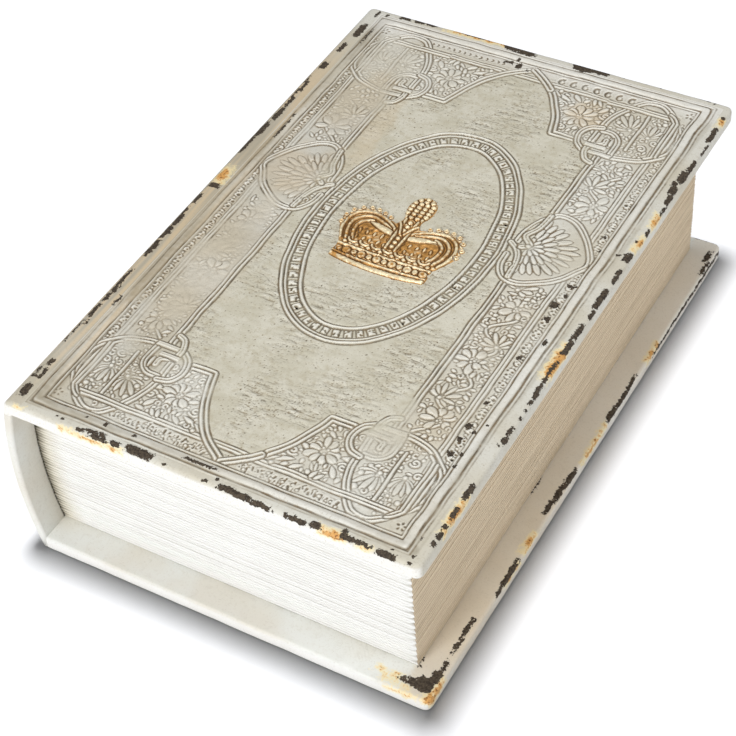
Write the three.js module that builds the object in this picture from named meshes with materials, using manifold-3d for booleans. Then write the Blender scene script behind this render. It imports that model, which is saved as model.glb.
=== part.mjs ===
// A keepsake box in the shape of an old book, lying on its back cover.
// Millimetres, +Z up. The parts are drawn in the covers' own frame: X = 0 at the covers' spine edge
// and rising to the fore-edge, Y = 0 at the tail and rising to the head, Z = 0 at the underside.
// The group at the end moves that frame so that the origin is under the middle of the box.

import * as THREE from "three";
import { mergeVertices } from "three/addons/utils/BufferGeometryUtils.js";
import Module from "manifold-3d";

const wasm = await Module();
wasm.setup();

// Covers
const COVER_LENGTH = 270;
const COVER_WIDTH = 170;
const BOX_HEIGHT = 82;
const BOARD = 5;
const LEATHER = 0.8;
const CORNER_RADIUS = 3;
const ARRIS = 1.2;
const TURN_IN = 15;

// Spine: a bowed board that stands a little proud of the covers' spine edge
const SPINE_SWELL = 5.2;
const SPINE_SET = 1.2;
const SPINE_BOARD = 1.9;
const BOW_STEPS = 14;
const BAND_COUNT = 5;
const BAND_FIRST = 51;
const BAND_PITCH = 46;
const BAND_WIDTH = 5;
const BAND_RISE = 1.1;
const BAND_STOP = 8;

// Front joint: soft leather from the top of the spine, round the shoulder, to the front board's edge
const JOINT_WIDTH = 6;
const SHOULDER_RADIUS = 4;
const SHOULDER_STEPS = 6;

// Tray
const TAIL_SQUARE = 12.5;
const HEAD_SQUARE = 8.5;
const FORE_SQUARE = 11;
const WALL = 5;
const SPINE_WALL_INSIDE = 6;
const TRAY_FLOOR = 2;
const LINING = 0.8;
const RIM_PAPER = 0.4;

// Page facings
const FACING = 2.6;
const PAGE_PITCH = 1.56;
const PAGE_GROOVE = 0.8;
const PAGE_CREST = 0.45;

// Fits
const CLEARANCE = 0.3;
const SEAT = 0.2;

// Embossing on the front cover: margins from the joint and the cover's three edges to the outer fillet
const JOINT_MARGIN = 3.2;
const FORE_MARGIN = 8.8;
const TAIL_MARGIN = 6.2;
const HEAD_MARGIN = 7.2;
const FILLET_WIDTH = 3.4;
const FILLET_RISE = 0.6;
const SIDE_BAND = 9.4;
const END_BAND = 11.5;
const LINE_WIDTH = 2.2;
const LINE_RISE = 0.4;
const PANEL_WIDTH = 19.2;
const NOTCH_INSET = 22.4;
const ARCH_HEIGHT = 35.5;
const ARCH_PROUD = 7.2;
const ARCH_BULGE = 4.5;
const ARCH_STEPS = 8;
const OVAL_UP = 8.8;
const OVAL_HALF_X = 38.6;
const OVAL_HALF_Y = 64.2;
const OVAL_BAND = 7.4;
const OVAL_STEPS = 64;
const BEAD_COUNT = 68;
const BEAD_SIZE = 3;
const STRAP_WIDTH = 1.9;
const STRAP_RISE = 0.55;
const STRAP_STEPS = 28;
const KNOT_INSET_X = 18.4;
const KNOT_INSET_Y = 23.9;
const KNOT_HALF_X = 14.5;
const KNOT_HALF_Y = 19.1;
const KNOT_SQUARENESS = 2.6;
const BUCKLE_INSET_X = 8.1;
const BUCKLE_INSET_Y = 14.4;
const BUCKLE_WIDTH = 10;
const BUCKLE_LENGTH = 13;
const SHIELD_OUT = 9.6;
const SHIELD_UP = 23;
const SHIELD_HALF_X = 15;
const SHIELD_HALF_Y = 20.6;
const SHIELD_POINT = 0.35;
const FLUTES = 5;
const FLUTE_LENGTH = 15;
const RIDGE_ROOT = 0.3;

// Crown
const CROWN_DOWN = 22.5;
const CROWN_BASE = 39.5;
const CROWN_BAND = 8.5;
const CROWN_SAG = 2.6;
const CROWN_ROLL = 1.5;
const CROWN_FLARE = 15;
const CROWN_SHOULDER = 36;
const CROWN_MIDDLE = 27;
const CROWN_ARCH = 3.2;
const CROWN_RELIEF = 1;
const CROWN_EDGE = 0.3;
const CROSS_Y = 38.8;
const CROSS_ARM = 5;
const STEM_WIDTH = 4.4;
const PEARL = 1.15;
const PEARLS = 9;

// Worked out from the sizes above
const COVER = BOARD + 2 * LEATHER;
const LID_UNDERSIDE = BOX_HEIGHT - COVER;
const SPINE_WALL_BACK = LEATHER + CLEARANCE + SPINE_BOARD + CLEARANCE;
const SPINE_THICKNESS = SPINE_WALL_BACK + LEATHER;
const SPINE_TOP = LID_UNDERSIDE - SEAT;
const TRAY_TOP = LID_UNDERSIDE - CLEARANCE;
const WALL_TOP = TRAY_TOP - RIM_PAPER;
const FLOOR_TOP = COVER + TRAY_FLOOR;
const TAIL = TAIL_SQUARE;
const HEAD = COVER_LENGTH - HEAD_SQUARE;
const FORE = COVER_WIDTH - FORE_SQUARE;
const BOW_MIDDLE = BOX_HEIGHT / 2;
const BOW_RADIUS = (BOW_MIDDLE ** 2 + SPINE_SWELL ** 2) / (2 * SPINE_SWELL);
const BOW_CENTRE = BOW_RADIUS - SPINE_SWELL - SPINE_SET;

// The embossed pattern's middle, and places counted from it towards a corner
const PATTERN_X = (JOINT_WIDTH + JOINT_MARGIN + COVER_WIDTH - FORE_MARGIN) / 2;
const PATTERN_Y = (TAIL_MARGIN + COVER_LENGTH - HEAD_MARGIN) / 2;
const FILLET_HALF_X = COVER_WIDTH - FORE_MARGIN - PATTERN_X;
const FILLET_HALF_Y = COVER_LENGTH - HEAD_MARGIN - PATTERN_Y;
const LINE_HALF_X = FILLET_HALF_X - SIDE_BAND;
const LINE_HALF_Y = FILLET_HALF_Y - END_BAND;
const FIELD_HALF_X = LINE_HALF_X - PANEL_WIDTH;
const NOTCH_HALF_X = FIELD_HALF_X - NOTCH_INSET;
const ARCH_Y = LINE_HALF_Y + ARCH_PROUD;
const NOTCH_Y = ARCH_Y - ARCH_HEIGHT;
const KNOT_X = FILLET_HALF_X - KNOT_INSET_X;
const KNOT_Y = FILLET_HALF_Y - KNOT_INSET_Y;
const BUCKLE_X = KNOT_X - BUCKLE_INSET_X;
const BUCKLE_Y = KNOT_Y - BUCKLE_INSET_Y;
const SHIELD_X = FIELD_HALF_X + SHIELD_OUT;
const SHIELD_Y = PATTERN_Y + SHIELD_UP;
const OVAL_Y = PATTERN_Y + OVAL_UP;
const CROWN_Y = OVAL_Y - CROWN_DOWN;

const COLOURS = {
  leather: { color: 0xd0cbbd, roughness: 0.62, metalness: 0 },
  board: { color: 0x8d8474, roughness: 0.9, metalness: 0 },
  wood: { color: 0xb99a72, roughness: 0.8, metalness: 0 },
  pages: { color: 0xece8dd, roughness: 0.85, metalness: 0 },
  lining: { color: 0x9c8a70, roughness: 0.95, metalness: 0 },
  gilt: { color: 0xc8963f, roughness: 0.38, metalness: 0.8 },
};

// Solids

// A closed three.js geometry as a solid that can be cut and joined.
function solid(geometry) {
  const bare = new THREE.BufferGeometry();
  bare.setAttribute("position", geometry.getAttribute("position"));
  bare.setIndex(geometry.index);
  const merged = mergeVertices(bare, 1e-4);
  return new wasm.Manifold(
    new wasm.Mesh({
      numProp: 3,
      vertProperties: merged.attributes.position.array,
      triVerts: new Uint32Array(merged.index.array),
    }),
  );
}

// The solid's surface as a geometry again.
function surface(made) {
  const { vertProperties, triVerts } = made.getMesh();
  const geometry = new THREE.BufferGeometry();
  geometry.setAttribute("position", new THREE.BufferAttribute(vertProperties, 3));
  geometry.setIndex(new THREE.BufferAttribute(triVerts, 1));
  return geometry;
}

// The first geometry with the others taken out of it.
function cut(from, ...cutters) {
  return surface(cutters.reduce((left, cutter) => left.subtract(solid(cutter)), solid(from)));
}

// The geometries joined into one.
function join(...parts) {
  return surface(parts.map(solid).reduce((all, part) => all.add(part)));
}

// A geometry from points and triangles, turned so that its faces point out.
function closed(points, faces) {
  const corner = new THREE.Vector3();
  let volume = 0;
  for (let i = 0; i < faces.length; i += 3) {
    const [a, b, c] = [points[faces[i]], points[faces[i + 1]], points[faces[i + 2]]];
    volume += a.dot(corner.crossVectors(b, c));
  }
  const order = volume < 0 ? faces.slice().reverse() : faces;
  return new THREE.BufferGeometry().setFromPoints(points).setIndex(order);
}

// A bar with the given section, a list of [depth, height], between two ends that may slant or curve:
// start and end give the place along the bar, and place turns along, depth and height into a point.
function bar(section, start, end, place) {
  const contour = section.map(([depth, height]) => new THREE.Vector2(depth, height));
  if (THREE.ShapeUtils.isClockWise(contour)) contour.reverse();
  const count = contour.length;
  const points = [start, end].flatMap((along) =>
    contour.map((p) => place(along(p.x, p.y), p.x, p.y)),
  );
  const faces = THREE.ShapeUtils.triangulateShape(contour, []).flatMap(([a, b, c]) => [
    ...[a, c, b],
    ...[count + a, count + b, count + c],
  ]);
  for (let i = 0; i < count; i += 1) {
    const j = (i + 1) % count;
    faces.push(i, j, count + j, i, count + j, count + i);
  }
  return closed(points, faces);
}

// A bar along Y whose section is drawn in X and Z.
function barAlongY(section, from, to) {
  const place = (along, x, z) => new THREE.Vector3(x, along, z);
  return bar(section, () => from, () => to, place);
}

// A block between two corners.
function block(x0, y0, z0, x1, y1, z1) {
  return barAlongY([[x0, z0], [x1, z0], [x1, z1], [x0, z1]], y0, y1);
}

// A plate with rounded corners and softened arrises.
function plate(x0, y0, x1, y1, bottom, top, radius, arris) {
  const shape = new THREE.Shape();
  const [left, low, right, high] = [x0 + arris, y0 + arris, x1 - arris, y1 - arris];
  const turn = Math.max(radius - arris, 0.01);
  shape.moveTo(left + turn, low);
  shape.absarc(right - turn, low + turn, turn, -Math.PI / 2, 0);
  shape.absarc(right - turn, high - turn, turn, 0, Math.PI / 2);
  shape.absarc(left + turn, high - turn, turn, Math.PI / 2, Math.PI);
  shape.absarc(left + turn, low + turn, turn, Math.PI, (Math.PI * 3) / 2);
  const plan = new THREE.ExtrudeGeometry(shape, {
    depth: top - bottom - 2 * arris,
    bevelEnabled: arris > 0,
    bevelSize: arris,
    bevelThickness: arris,
    bevelSegments: 2,
    curveSegments: 4,
  });
  return plan.translate(0, 0, bottom + arris);
}

// Spine

// X of the spine's outer face at a height, moved in towards the pages by inset.
function bow(z, inset = 0) {
  return BOW_CENTRE - Math.sqrt((BOW_RADIUS - inset) ** 2 - (z - BOW_MIDDLE) ** 2);
}

// Heights that step evenly from one height to another.
function heights(low, high) {
  return Array.from({ length: BOW_STEPS + 1 }, (_, i) => low + ((high - low) * i) / BOW_STEPS);
}

// Section of the spine between two insets, from one height to another.
function bowSection(outer, inner, low, high) {
  const steps = heights(low, high);
  return [
    ...steps.map((z) => [bow(z, outer), z]),
    ...steps.reverse().map((z) => [bow(z, inner), z]),
  ];
}

// Leather over the spine's outside, round its ends and turned in over the board.
function spineLeather() {
  const overshoot = 1;
  const whole = barAlongY(bowSection(0, SPINE_THICKNESS, 0, SPINE_TOP), 0, COVER_LENGTH);
  const overBack = bowSection(LEATHER, SPINE_THICKNESS + overshoot, -overshoot, COVER + CLEARANCE);
  const pocket = bowSection(LEATHER, SPINE_WALL_BACK, COVER, SPINE_TOP + overshoot);
  const opening = bowSection(
    SPINE_WALL_BACK - overshoot,
    SPINE_THICKNESS + overshoot,
    COVER,
    SPINE_TOP + overshoot,
  );
  return cut(
    whole,
    barAlongY(overBack, -overshoot, COVER_LENGTH + overshoot),
    barAlongY(pocket, LEATHER, COVER_LENGTH - LEATHER),
    barAlongY(opening, TAIL - CLEARANCE, HEAD + CLEARANCE),
  );
}

function spineBoard() {
  const outer = LEATHER + CLEARANCE;
  const section = bowSection(outer, outer + SPINE_BOARD, COVER + CLEARANCE, SPINE_TOP);
  return barAlongY(section, LEATHER + CLEARANCE, COVER_LENGTH - LEATHER - CLEARANCE);
}

// A half-round band carried up the bowed spine.
function raisedBand(middle) {
  const round = [-1, -0.72, -0.28, 0.28, 0.72, 1].map((side) => [
    (side * BAND_WIDTH) / 2,
    -SEAT - BAND_RISE * Math.sqrt(1 - side * side),
  ]);
  const steps = heights(BAND_STOP, BOX_HEIGHT - BAND_STOP);
  const points = steps.flatMap((z) =>
    round.map(([side, inset]) => new THREE.Vector3(bow(z, inset), middle + side, z)),
  );
  return closed(points, loftFaces(steps.length, round.length));
}

// Triangles over a row of like sections: each is joined to the next, and the first and last are filled.
function loftFaces(sections, size, ring = false) {
  const faces = [];
  const spans = ring ? sections : sections - 1;
  for (let s = 0; s < spans; s += 1) {
    const here = s * size;
    const next = ((s + 1) % sections) * size;
    for (let i = 0; i < size; i += 1) {
      const j = (i + 1) % size;
      faces.push(here + i, here + j, next + j, here + i, next + j, next + i);
    }
  }
  const last = (sections - 1) * size;
  for (let i = 1; i < size - 1 && !ring; i += 1) {
    faces.push(0, i + 1, i, last, last + i, last + i + 1);
  }
  return faces;
}

// The soft joint: up from the spine, round the shoulder and level to the front board's edge.
function hingeLeather() {
  const [cx, cz] = [bow(BOX_HEIGHT - SHOULDER_RADIUS) + SHOULDER_RADIUS, BOX_HEIGHT - SHOULDER_RADIUS];
  const line = (inset) => {
    const radius = SHOULDER_RADIUS - inset;
    const turn = Array.from({ length: SHOULDER_STEPS + 1 }, (_, i) => {
      const angle = Math.PI - ((Math.PI / 2) * i) / SHOULDER_STEPS;
      return [cx + radius * Math.cos(angle), cz + radius * Math.sin(angle)];
    });
    const foot = SPINE_TOP + SEAT;
    return [[bow(foot, inset), foot], ...turn, [JOINT_WIDTH - SEAT, BOX_HEIGHT - inset]];
  };
  return barAlongY([...line(0), ...line(LEATHER).reverse()], 0, COVER_LENGTH);
}

// Covers

// Leather round a cover board: the outside face, three edges and the turned-in strips.
// face is the height of the outside face and inside that of the face towards the pages.
function coverLeather(start, face, inside) {
  const overshoot = 20;
  const [bottom, top] = [Math.min(face, inside), Math.max(face, inside)];
  const within = face > inside ? [bottom, top - LEATHER] : [bottom + LEATHER, top];
  const whole = plate(-overshoot, 0, COVER_WIDTH, COVER_LENGTH, bottom, top, CORNER_RADIUS, ARRIS);
  const far = COVER_WIDTH - TURN_IN + CLEARANCE;
  return cut(
    whole,
    block(-2 * overshoot, -1, -1, start, COVER_LENGTH + 1, BOX_HEIGHT + 1),
    block(-1, LEATHER, bottom + LEATHER, COVER_WIDTH - LEATHER, COVER_LENGTH - LEATHER, top - LEATHER),
    block(-1, TURN_IN - CLEARANCE, within[0], far, COVER_LENGTH - TURN_IN + CLEARANCE, within[1]),
  );
}

function coverBoard(start, bottom) {
  const edge = LEATHER + CLEARANCE;
  return block(start, edge, bottom, COVER_WIDTH - edge, COVER_LENGTH - edge, bottom + BOARD);
}

// The sheet that lies between the turned-in strips of a cover.
function innerSheet(start, bottom) {
  return block(start, TURN_IN, bottom, COVER_WIDTH - TURN_IN, COVER_LENGTH - TURN_IN, bottom + LEATHER);
}

// Embossing

// A low rounded ridge along a path on the cover's face, closed on itself or with two ends.
function ridge(path, width, rise, loop = true) {
  const rounded = [[-0.5, -RIDGE_ROOT], [-0.3, rise * 0.75], [0, rise], [0.3, rise * 0.75], [0.5, -RIDGE_ROOT]];
  const count = path.length;
  const points = path.flatMap((here, i) => {
    const before = path[loop ? (i + count - 1) % count : Math.max(i - 1, 0)];
    const after = path[loop ? (i + 1) % count : Math.min(i + 1, count - 1)];
    const into = here.clone().sub(i || loop ? before : here).normalize();
    const out = after.clone().sub(here).normalize();
    const along = into.clone().add(out).normalize();
    const across = new THREE.Vector2(-along.y, along.x);
    const mitre = 1 / Math.max(along.dot(out.lengthSq() ? out : into), 0.5);
    return rounded.map(([side, height]) => {
      const offset = side * width * mitre;
      return new THREE.Vector3(here.x + across.x * offset, here.y + across.y * offset, BOX_HEIGHT + height);
    });
  });
  return closed(points, loftFaces(count, rounded.length, loop));
}

// Points of a closed curve, given by a function of the angle.
function around(steps, at) {
  return Array.from({ length: steps }, (_, i) => {
    const angle = (2 * Math.PI * i) / steps;
    return new THREE.Vector2(...at(angle));
  });
}

// A rectangle about the pattern's middle.
function frameLine(halfX, halfY) {
  return [[-1, -1], [1, -1], [1, 1], [-1, 1]].map(
    ([x, y]) => new THREE.Vector2(PATTERN_X + x * halfX, PATTERN_Y + y * halfY),
  );
}

// Outline of the plain field: straight sides, a step in at each corner, and a pointed arch at each end.
function fieldLine() {
  const arch = Array.from({ length: ARCH_STEPS + 1 }, (_, i) => {
    const t = i / ARCH_STEPS;
    const swell = ARCH_BULGE * Math.sin(Math.PI * t);
    return [NOTCH_HALF_X * (1 - t) + swell, NOTCH_Y + (ARCH_Y - NOTCH_Y) * t + swell * 0.7];
  });
  const quarter = [[FIELD_HALF_X, NOTCH_Y], ...arch];
  const upper = [...quarter, ...quarter.slice(0, -1).reverse().map(([x, y]) => [-x, y])];
  const lower = upper.map(([x, y]) => [-x, -y]);
  return [...upper, ...lower].map(([x, y]) => new THREE.Vector2(PATTERN_X + x, PATTERN_Y + y));
}

// An ellipse drawn in from the oval's outer edge by inset.
function ovalAt(angle, inset) {
  return [
    PATTERN_X + (OVAL_HALF_X - inset) * Math.cos(angle),
    OVAL_Y + (OVAL_HALF_Y - inset) * Math.sin(angle),
  ];
}

// A square bead with sloping sides, turned to lie along the oval.
function bead(angle) {
  const [x, y] = ovalAt(angle, OVAL_BAND / 2);
  const tall = LINE_RISE + RIDGE_ROOT;
  const stud = new THREE.CylinderGeometry(BEAD_SIZE * 0.42, BEAD_SIZE * Math.SQRT1_2, tall, 4);
  const tangent = Math.atan2(OVAL_HALF_Y * Math.cos(angle), -OVAL_HALF_X * Math.sin(angle));
  stud.rotateY(Math.PI / 4).rotateX(Math.PI / 2).rotateZ(tangent);
  return stud.translate(x, y, BOX_HEIGHT + tall / 2 - RIDGE_ROOT);
}

// Beads spaced evenly along the oval, not evenly in angle.
function beads() {
  const fine = 720;
  const path = around(fine, (angle) => ovalAt(angle, OVAL_BAND / 2));
  const lengths = path.map((p, i) => p.distanceTo(path[(i + 1) % fine]));
  const pitch = lengths.reduce((sum, length) => sum + length) / BEAD_COUNT;
  const made = [];
  let travelled = 0;
  lengths.forEach((length, i) => {
    if (travelled >= made.length * pitch) made.push(bead((2 * Math.PI * i) / fine));
    travelled += length;
  });
  return made.slice(0, BEAD_COUNT);
}

// A strap ring at a corner, squarer than an ellipse, that laces over the frame lines.
function cornerStrap(sideX, sideY) {
  const power = 2 / KNOT_SQUARENESS;
  const pull = (value) => Math.sign(value) * Math.abs(value) ** power;
  const ring = around(STRAP_STEPS, (angle) => [
    PATTERN_X + sideX * (KNOT_X + KNOT_HALF_X * pull(Math.cos(angle))),
    PATTERN_Y + sideY * (KNOT_Y + KNOT_HALF_Y * pull(Math.sin(angle))),
  ]);
  return ridge(ring, STRAP_WIDTH, STRAP_RISE);
}

// The buckle that the strap ring passes through: a rounded link with an open middle.
function buckle(sideX, sideY) {
  const power = 0.5;
  const pull = (value) => Math.sign(value) * Math.abs(value) ** power;
  const link = around(16, (angle) => [
    PATTERN_X + sideX * (BUCKLE_X + (BUCKLE_WIDTH / 2) * pull(Math.cos(angle))),
    PATTERN_Y + sideY * (BUCKLE_Y + (BUCKLE_LENGTH / 2) * pull(Math.sin(angle))),
  ]);
  return ridge(link, STRAP_WIDTH, STRAP_RISE);
}

// The almond shield half way up each side, drawn out to a point towards the cover's edge.
function shield(side) {
  const ring = around(STRAP_STEPS, (angle) => {
    const reach = Math.cos(angle);
    const point = 1 - SHIELD_POINT * Math.max(reach, 0) ** 2;
    return [
      PATTERN_X + side * (SHIELD_X + SHIELD_HALF_X * reach),
      SHIELD_Y + SHIELD_HALF_Y * Math.sin(angle) * point,
    ];
  });
  return ridge(ring, STRAP_WIDTH, STRAP_RISE);
}

// Flutes that fan out inside the shield.
function flutes(side) {
  return Array.from({ length: FLUTES }, (_, i) => {
    const angle = (Math.PI / 9) * (i - (FLUTES - 1) / 2);
    const from = [SHIELD_X - SHIELD_HALF_X * 0.55, SHIELD_Y];
    const at = (distance) =>
      new THREE.Vector2(
        PATTERN_X + side * (from[0] + distance * Math.cos(angle)),
        from[1] + distance * Math.sin(angle),
      );
    return ridge([at(5), at(FLUTE_LENGTH * 0.7), at(FLUTE_LENGTH)], STRAP_WIDTH, LINE_RISE, false);
  });
}

// The front cover's leather with everything that is pressed up in it.
function embossedLeather() {
  const sides = [-1, 1];
  const straps = sides.flatMap((x) => sides.flatMap((y) => [cornerStrap(x, y), buckle(x, y)]));
  return join(
    coverLeather(JOINT_WIDTH, BOX_HEIGHT, LID_UNDERSIDE),
    ridge(frameLine(FILLET_HALF_X, FILLET_HALF_Y), FILLET_WIDTH, FILLET_RISE),
    ridge(frameLine(LINE_HALF_X, LINE_HALF_Y), LINE_WIDTH, LINE_RISE),
    ridge(fieldLine(), LINE_WIDTH, LINE_RISE),
    ridge(around(OVAL_STEPS, (angle) => ovalAt(angle, 0)), LINE_WIDTH, FILLET_RISE),
    ridge(around(OVAL_STEPS, (angle) => ovalAt(angle, OVAL_BAND)), LINE_WIDTH, LINE_RISE),
    ...beads(),
    ...straps,
    ...sides.flatMap((side) => [shield(side), ...flutes(side)]),
  );
}

// Crown

// A flat outline in relief, with softened edges. It starts a little inside the cover, and crown() trims it.
function relief(outline, height) {
  const shape = new THREE.ExtrudeGeometry(new THREE.Shape(outline), {
    depth: height + RIDGE_ROOT - CROWN_EDGE,
    bevelEnabled: true,
    bevelSize: CROWN_EDGE,
    bevelOffset: -CROWN_EDGE,
    bevelThickness: CROWN_EDGE,
    bevelSegments: 1,
  });
  return shape.translate(0, 0, BOX_HEIGHT - RIDGE_ROOT);
}

// A pearl: a small ball, half sunk in the metal.
function pearl(x, y) {
  return new THREE.SphereGeometry(PEARL, 8, 4).rotateX(Math.PI / 2).translate(x, y, BOX_HEIGHT + CROWN_RELIEF / 2);
}

// A place on the cover counted from the middle of the crown's foot.
function onCrown(x, y) {
  return new THREE.Vector2(PATTERN_X + x, CROWN_Y + y);
}

// Places along the crown's band, which sags in the middle.
function alongBand(count, up) {
  return Array.from({ length: count }, (_, i) => {
    const share = (2 * i) / (count - 1) - 1;
    return onCrown((share * CROWN_BASE) / 2, up + CROWN_SAG * (share ** 2 - 1));
  });
}

function bandStrip(low, high, height) {
  return relief([...alongBand(9, low), ...alongBand(9, high).reverse()], height);
}

// One bowed arch: its outer line, the line down its middle, and its outline.
function crownArch(side) {
  const steps = 14;
  const half = CROWN_BASE / 2;
  const outer = new THREE.CubicBezierCurve(
    onCrown(side * half, CROWN_BAND),
    onCrown(side * (half + CROWN_FLARE), CROWN_BAND + CROWN_FLARE * 0.8),
    onCrown(side * half, CROWN_SHOULDER),
    onCrown(0, CROWN_MIDDLE),
  );
  const line = outer.getPoints(steps);
  const inward = (by) =>
    line.map((p, i) => {
      const along = line[Math.min(i + 1, steps)].clone().sub(line[Math.max(i - 1, 0)]).normalize();
      return p.clone().add(new THREE.Vector2(-along.y, along.x).multiplyScalar(side * by));
    });
  return { outer, middle: inward(CROWN_ARCH / 2), outline: [...line, ...inward(CROWN_ARCH).reverse()] };
}

// A cross with arms that widen outwards.
function crossOutline() {
  const waist = CROSS_ARM * 0.24;
  const arm = [[waist, waist], [CROSS_ARM * 0.48, CROSS_ARM], [-CROSS_ARM * 0.48, CROSS_ARM]];
  const corner = new THREE.Vector2();
  return [0, 1, 2, 3].flatMap((quarter) =>
    arm.map(([x, y]) => {
      const turned = new THREE.Vector2(x, y).rotateAround(corner, (quarter * Math.PI) / 2);
      return onCrown(turned.x, CROSS_Y + turned.y);
    }),
  );
}

// The crown: a curved jewelled band, two bowed arches edged with pearls, and a cross on the middle.
function crown() {
  const [left, right] = [crownArch(-1), crownArch(1)];
  const foot = CROWN_BASE / 2 - CROWN_ARCH;
  const backing = [
    onCrown(-foot, CROWN_BAND - CROWN_SAG),
    ...left.middle.slice(2, -1),
    ...right.middle.slice(2, -1).reverse(),
    onCrown(foot, CROWN_BAND - CROWN_SAG),
  ];
  const stem = [[-1, CROWN_BAND], [1, CROWN_BAND], [0.6, CROSS_Y], [-0.6, CROSS_Y]];
  const edge = [left, right].flatMap(({ outer }) =>
    Array.from({ length: PEARLS }, (_, i) => outer.getPointAt(0.12 + (0.72 * i) / (PEARLS - 1))),
  );
  const jewels = alongBand(7, CROWN_BAND * 0.5).slice(1, -1);
  const metal = join(
    bandStrip(0, CROWN_BAND, CROWN_RELIEF),
    bandStrip(CROWN_BAND - CROWN_ROLL, CROWN_BAND + CROWN_ROLL / 4, CROWN_RELIEF * 1.35),
    bandStrip(-CROWN_ROLL / 2, CROWN_ROLL, CROWN_RELIEF * 1.35),
    relief(backing, CROWN_RELIEF * 0.55),
    relief(left.outline, CROWN_RELIEF),
    relief(right.outline, CROWN_RELIEF),
    relief(stem.map(([x, y]) => onCrown((x * STEM_WIDTH) / 2, y)), CROWN_RELIEF * 1.2),
    relief(crossOutline(), CROWN_RELIEF * 1.2),
    ...[...edge, ...jewels].map((p) => pearl(p.x, p.y)),
  );
  return cut(metal, block(0, 0, LID_UNDERSIDE, COVER_WIDTH, COVER_LENGTH, BOX_HEIGHT));
}

// Tray

// Section of a page facing: a flat back, and rounded ridges that stand for leaves.
function pageSection() {
  const tall = TRAY_TOP - COVER;
  const count = Math.round(tall / PAGE_PITCH);
  const pitch = tall / count;
  const front = Array.from({ length: count }, (_, i) => {
    const groove = COVER + i * pitch;
    const crest = (pitch * PAGE_CREST) / 2;
    return [
      [PAGE_GROOVE, groove],
      [0, groove + pitch / 2 - crest],
      [0, groove + pitch / 2 + crest],
    ];
  }).flat();
  return [...front, [PAGE_GROOVE, TRAY_TOP], [FACING, TRAY_TOP], [FACING, COVER]];
}

// Places along and into the tail, head and fore-edge sides of the tray.
const SIDES = {
  tail: (along, depth, height) => new THREE.Vector3(along, TAIL + depth, height),
  head: (along, depth, height) => new THREE.Vector3(along, HEAD - depth, height),
  fore: (along, depth, height) => new THREE.Vector3(FORE - depth, along, height),
};

// A facing for the tail or the head: against the bowed spine at one end, mitred at the other.
function endPages(side) {
  const start = (depth, height) => bow(height, SPINE_WALL_BACK);
  const end = (depth) => FORE - depth - SEAT / 2;
  return bar(pageSection(), start, end, SIDES[side]);
}

function foreEdgePages() {
  const start = (depth) => TAIL + depth + SEAT / 2;
  const end = (depth) => HEAD - depth - SEAT / 2;
  return bar(pageSection(), start, end, SIDES.fore);
}

// The tray's inside: between the spine wall and the walls behind the facings.
const WALL_TAIL = TAIL + FACING;
const WALL_HEAD = HEAD - FACING;
const WALL_FORE = FORE - FACING;
const INSIDE = {
  x0: SPINE_WALL_INSIDE,
  y0: WALL_TAIL + WALL,
  x1: WALL_FORE - WALL,
  y1: WALL_HEAD - WALL,
};

function spineWall() {
  const steps = heights(FLOOR_TOP, WALL_TOP);
  const back = steps.map((z) => [bow(z, SPINE_WALL_BACK), z]);
  const section = [...back, [SPINE_WALL_INSIDE, WALL_TOP], [SPINE_WALL_INSIDE, FLOOR_TOP]];
  return barAlongY(section, WALL_TAIL, WALL_HEAD);
}

function trayFloor() {
  const back = heights(COVER, FLOOR_TOP).map((z) => [bow(z, SPINE_WALL_BACK), z]);
  return barAlongY([...back, [WALL_FORE, FLOOR_TOP], [WALL_FORE, COVER]], WALL_TAIL, WALL_HEAD);
}

function rimPaper() {
  const over = 1;
  const back = bow(TRAY_TOP, SPINE_WALL_BACK);
  return cut(
    block(back, WALL_TAIL, WALL_TOP, WALL_FORE, WALL_HEAD, TRAY_TOP),
    block(
      INSIDE.x0 + LINING,
      INSIDE.y0 + LINING,
      WALL_TOP - over,
      INSIDE.x1 - LINING,
      INSIDE.y1 - LINING,
      TRAY_TOP + over,
    ),
  );
}

// Named parts

const box = new THREE.Group();
const lid = new THREE.Group();

function add(group, name, colour, geometry) {
  const shown = geometry.index ? geometry.toNonIndexed() : geometry;
  shown.computeVertexNormals();
  const mesh = new THREE.Mesh(shown, new THREE.MeshStandardMaterial(COLOURS[colour]));
  mesh.name = name;
  group.add(mesh);
}

const backStart = bow(0, LEATHER + CLEARANCE);
add(box, "back_board", "board", coverBoard(backStart, LEATHER));
add(box, "back_cover_leather", "leather", coverLeather(backStart, 0, COVER));
add(box, "back_filler_card", "board", innerSheet(SPINE_WALL_INSIDE, LEATHER + BOARD));
add(box, "spine_board", "board", spineBoard());
add(box, "spine_leather", "leather", spineLeather());
for (let i = 0; i < BAND_COUNT; i += 1) {
  add(box, `raised_band_${i + 1}`, "leather", raisedBand(BAND_FIRST + i * BAND_PITCH));
}
add(box, "front_hinge_leather", "leather", hingeLeather());

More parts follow.
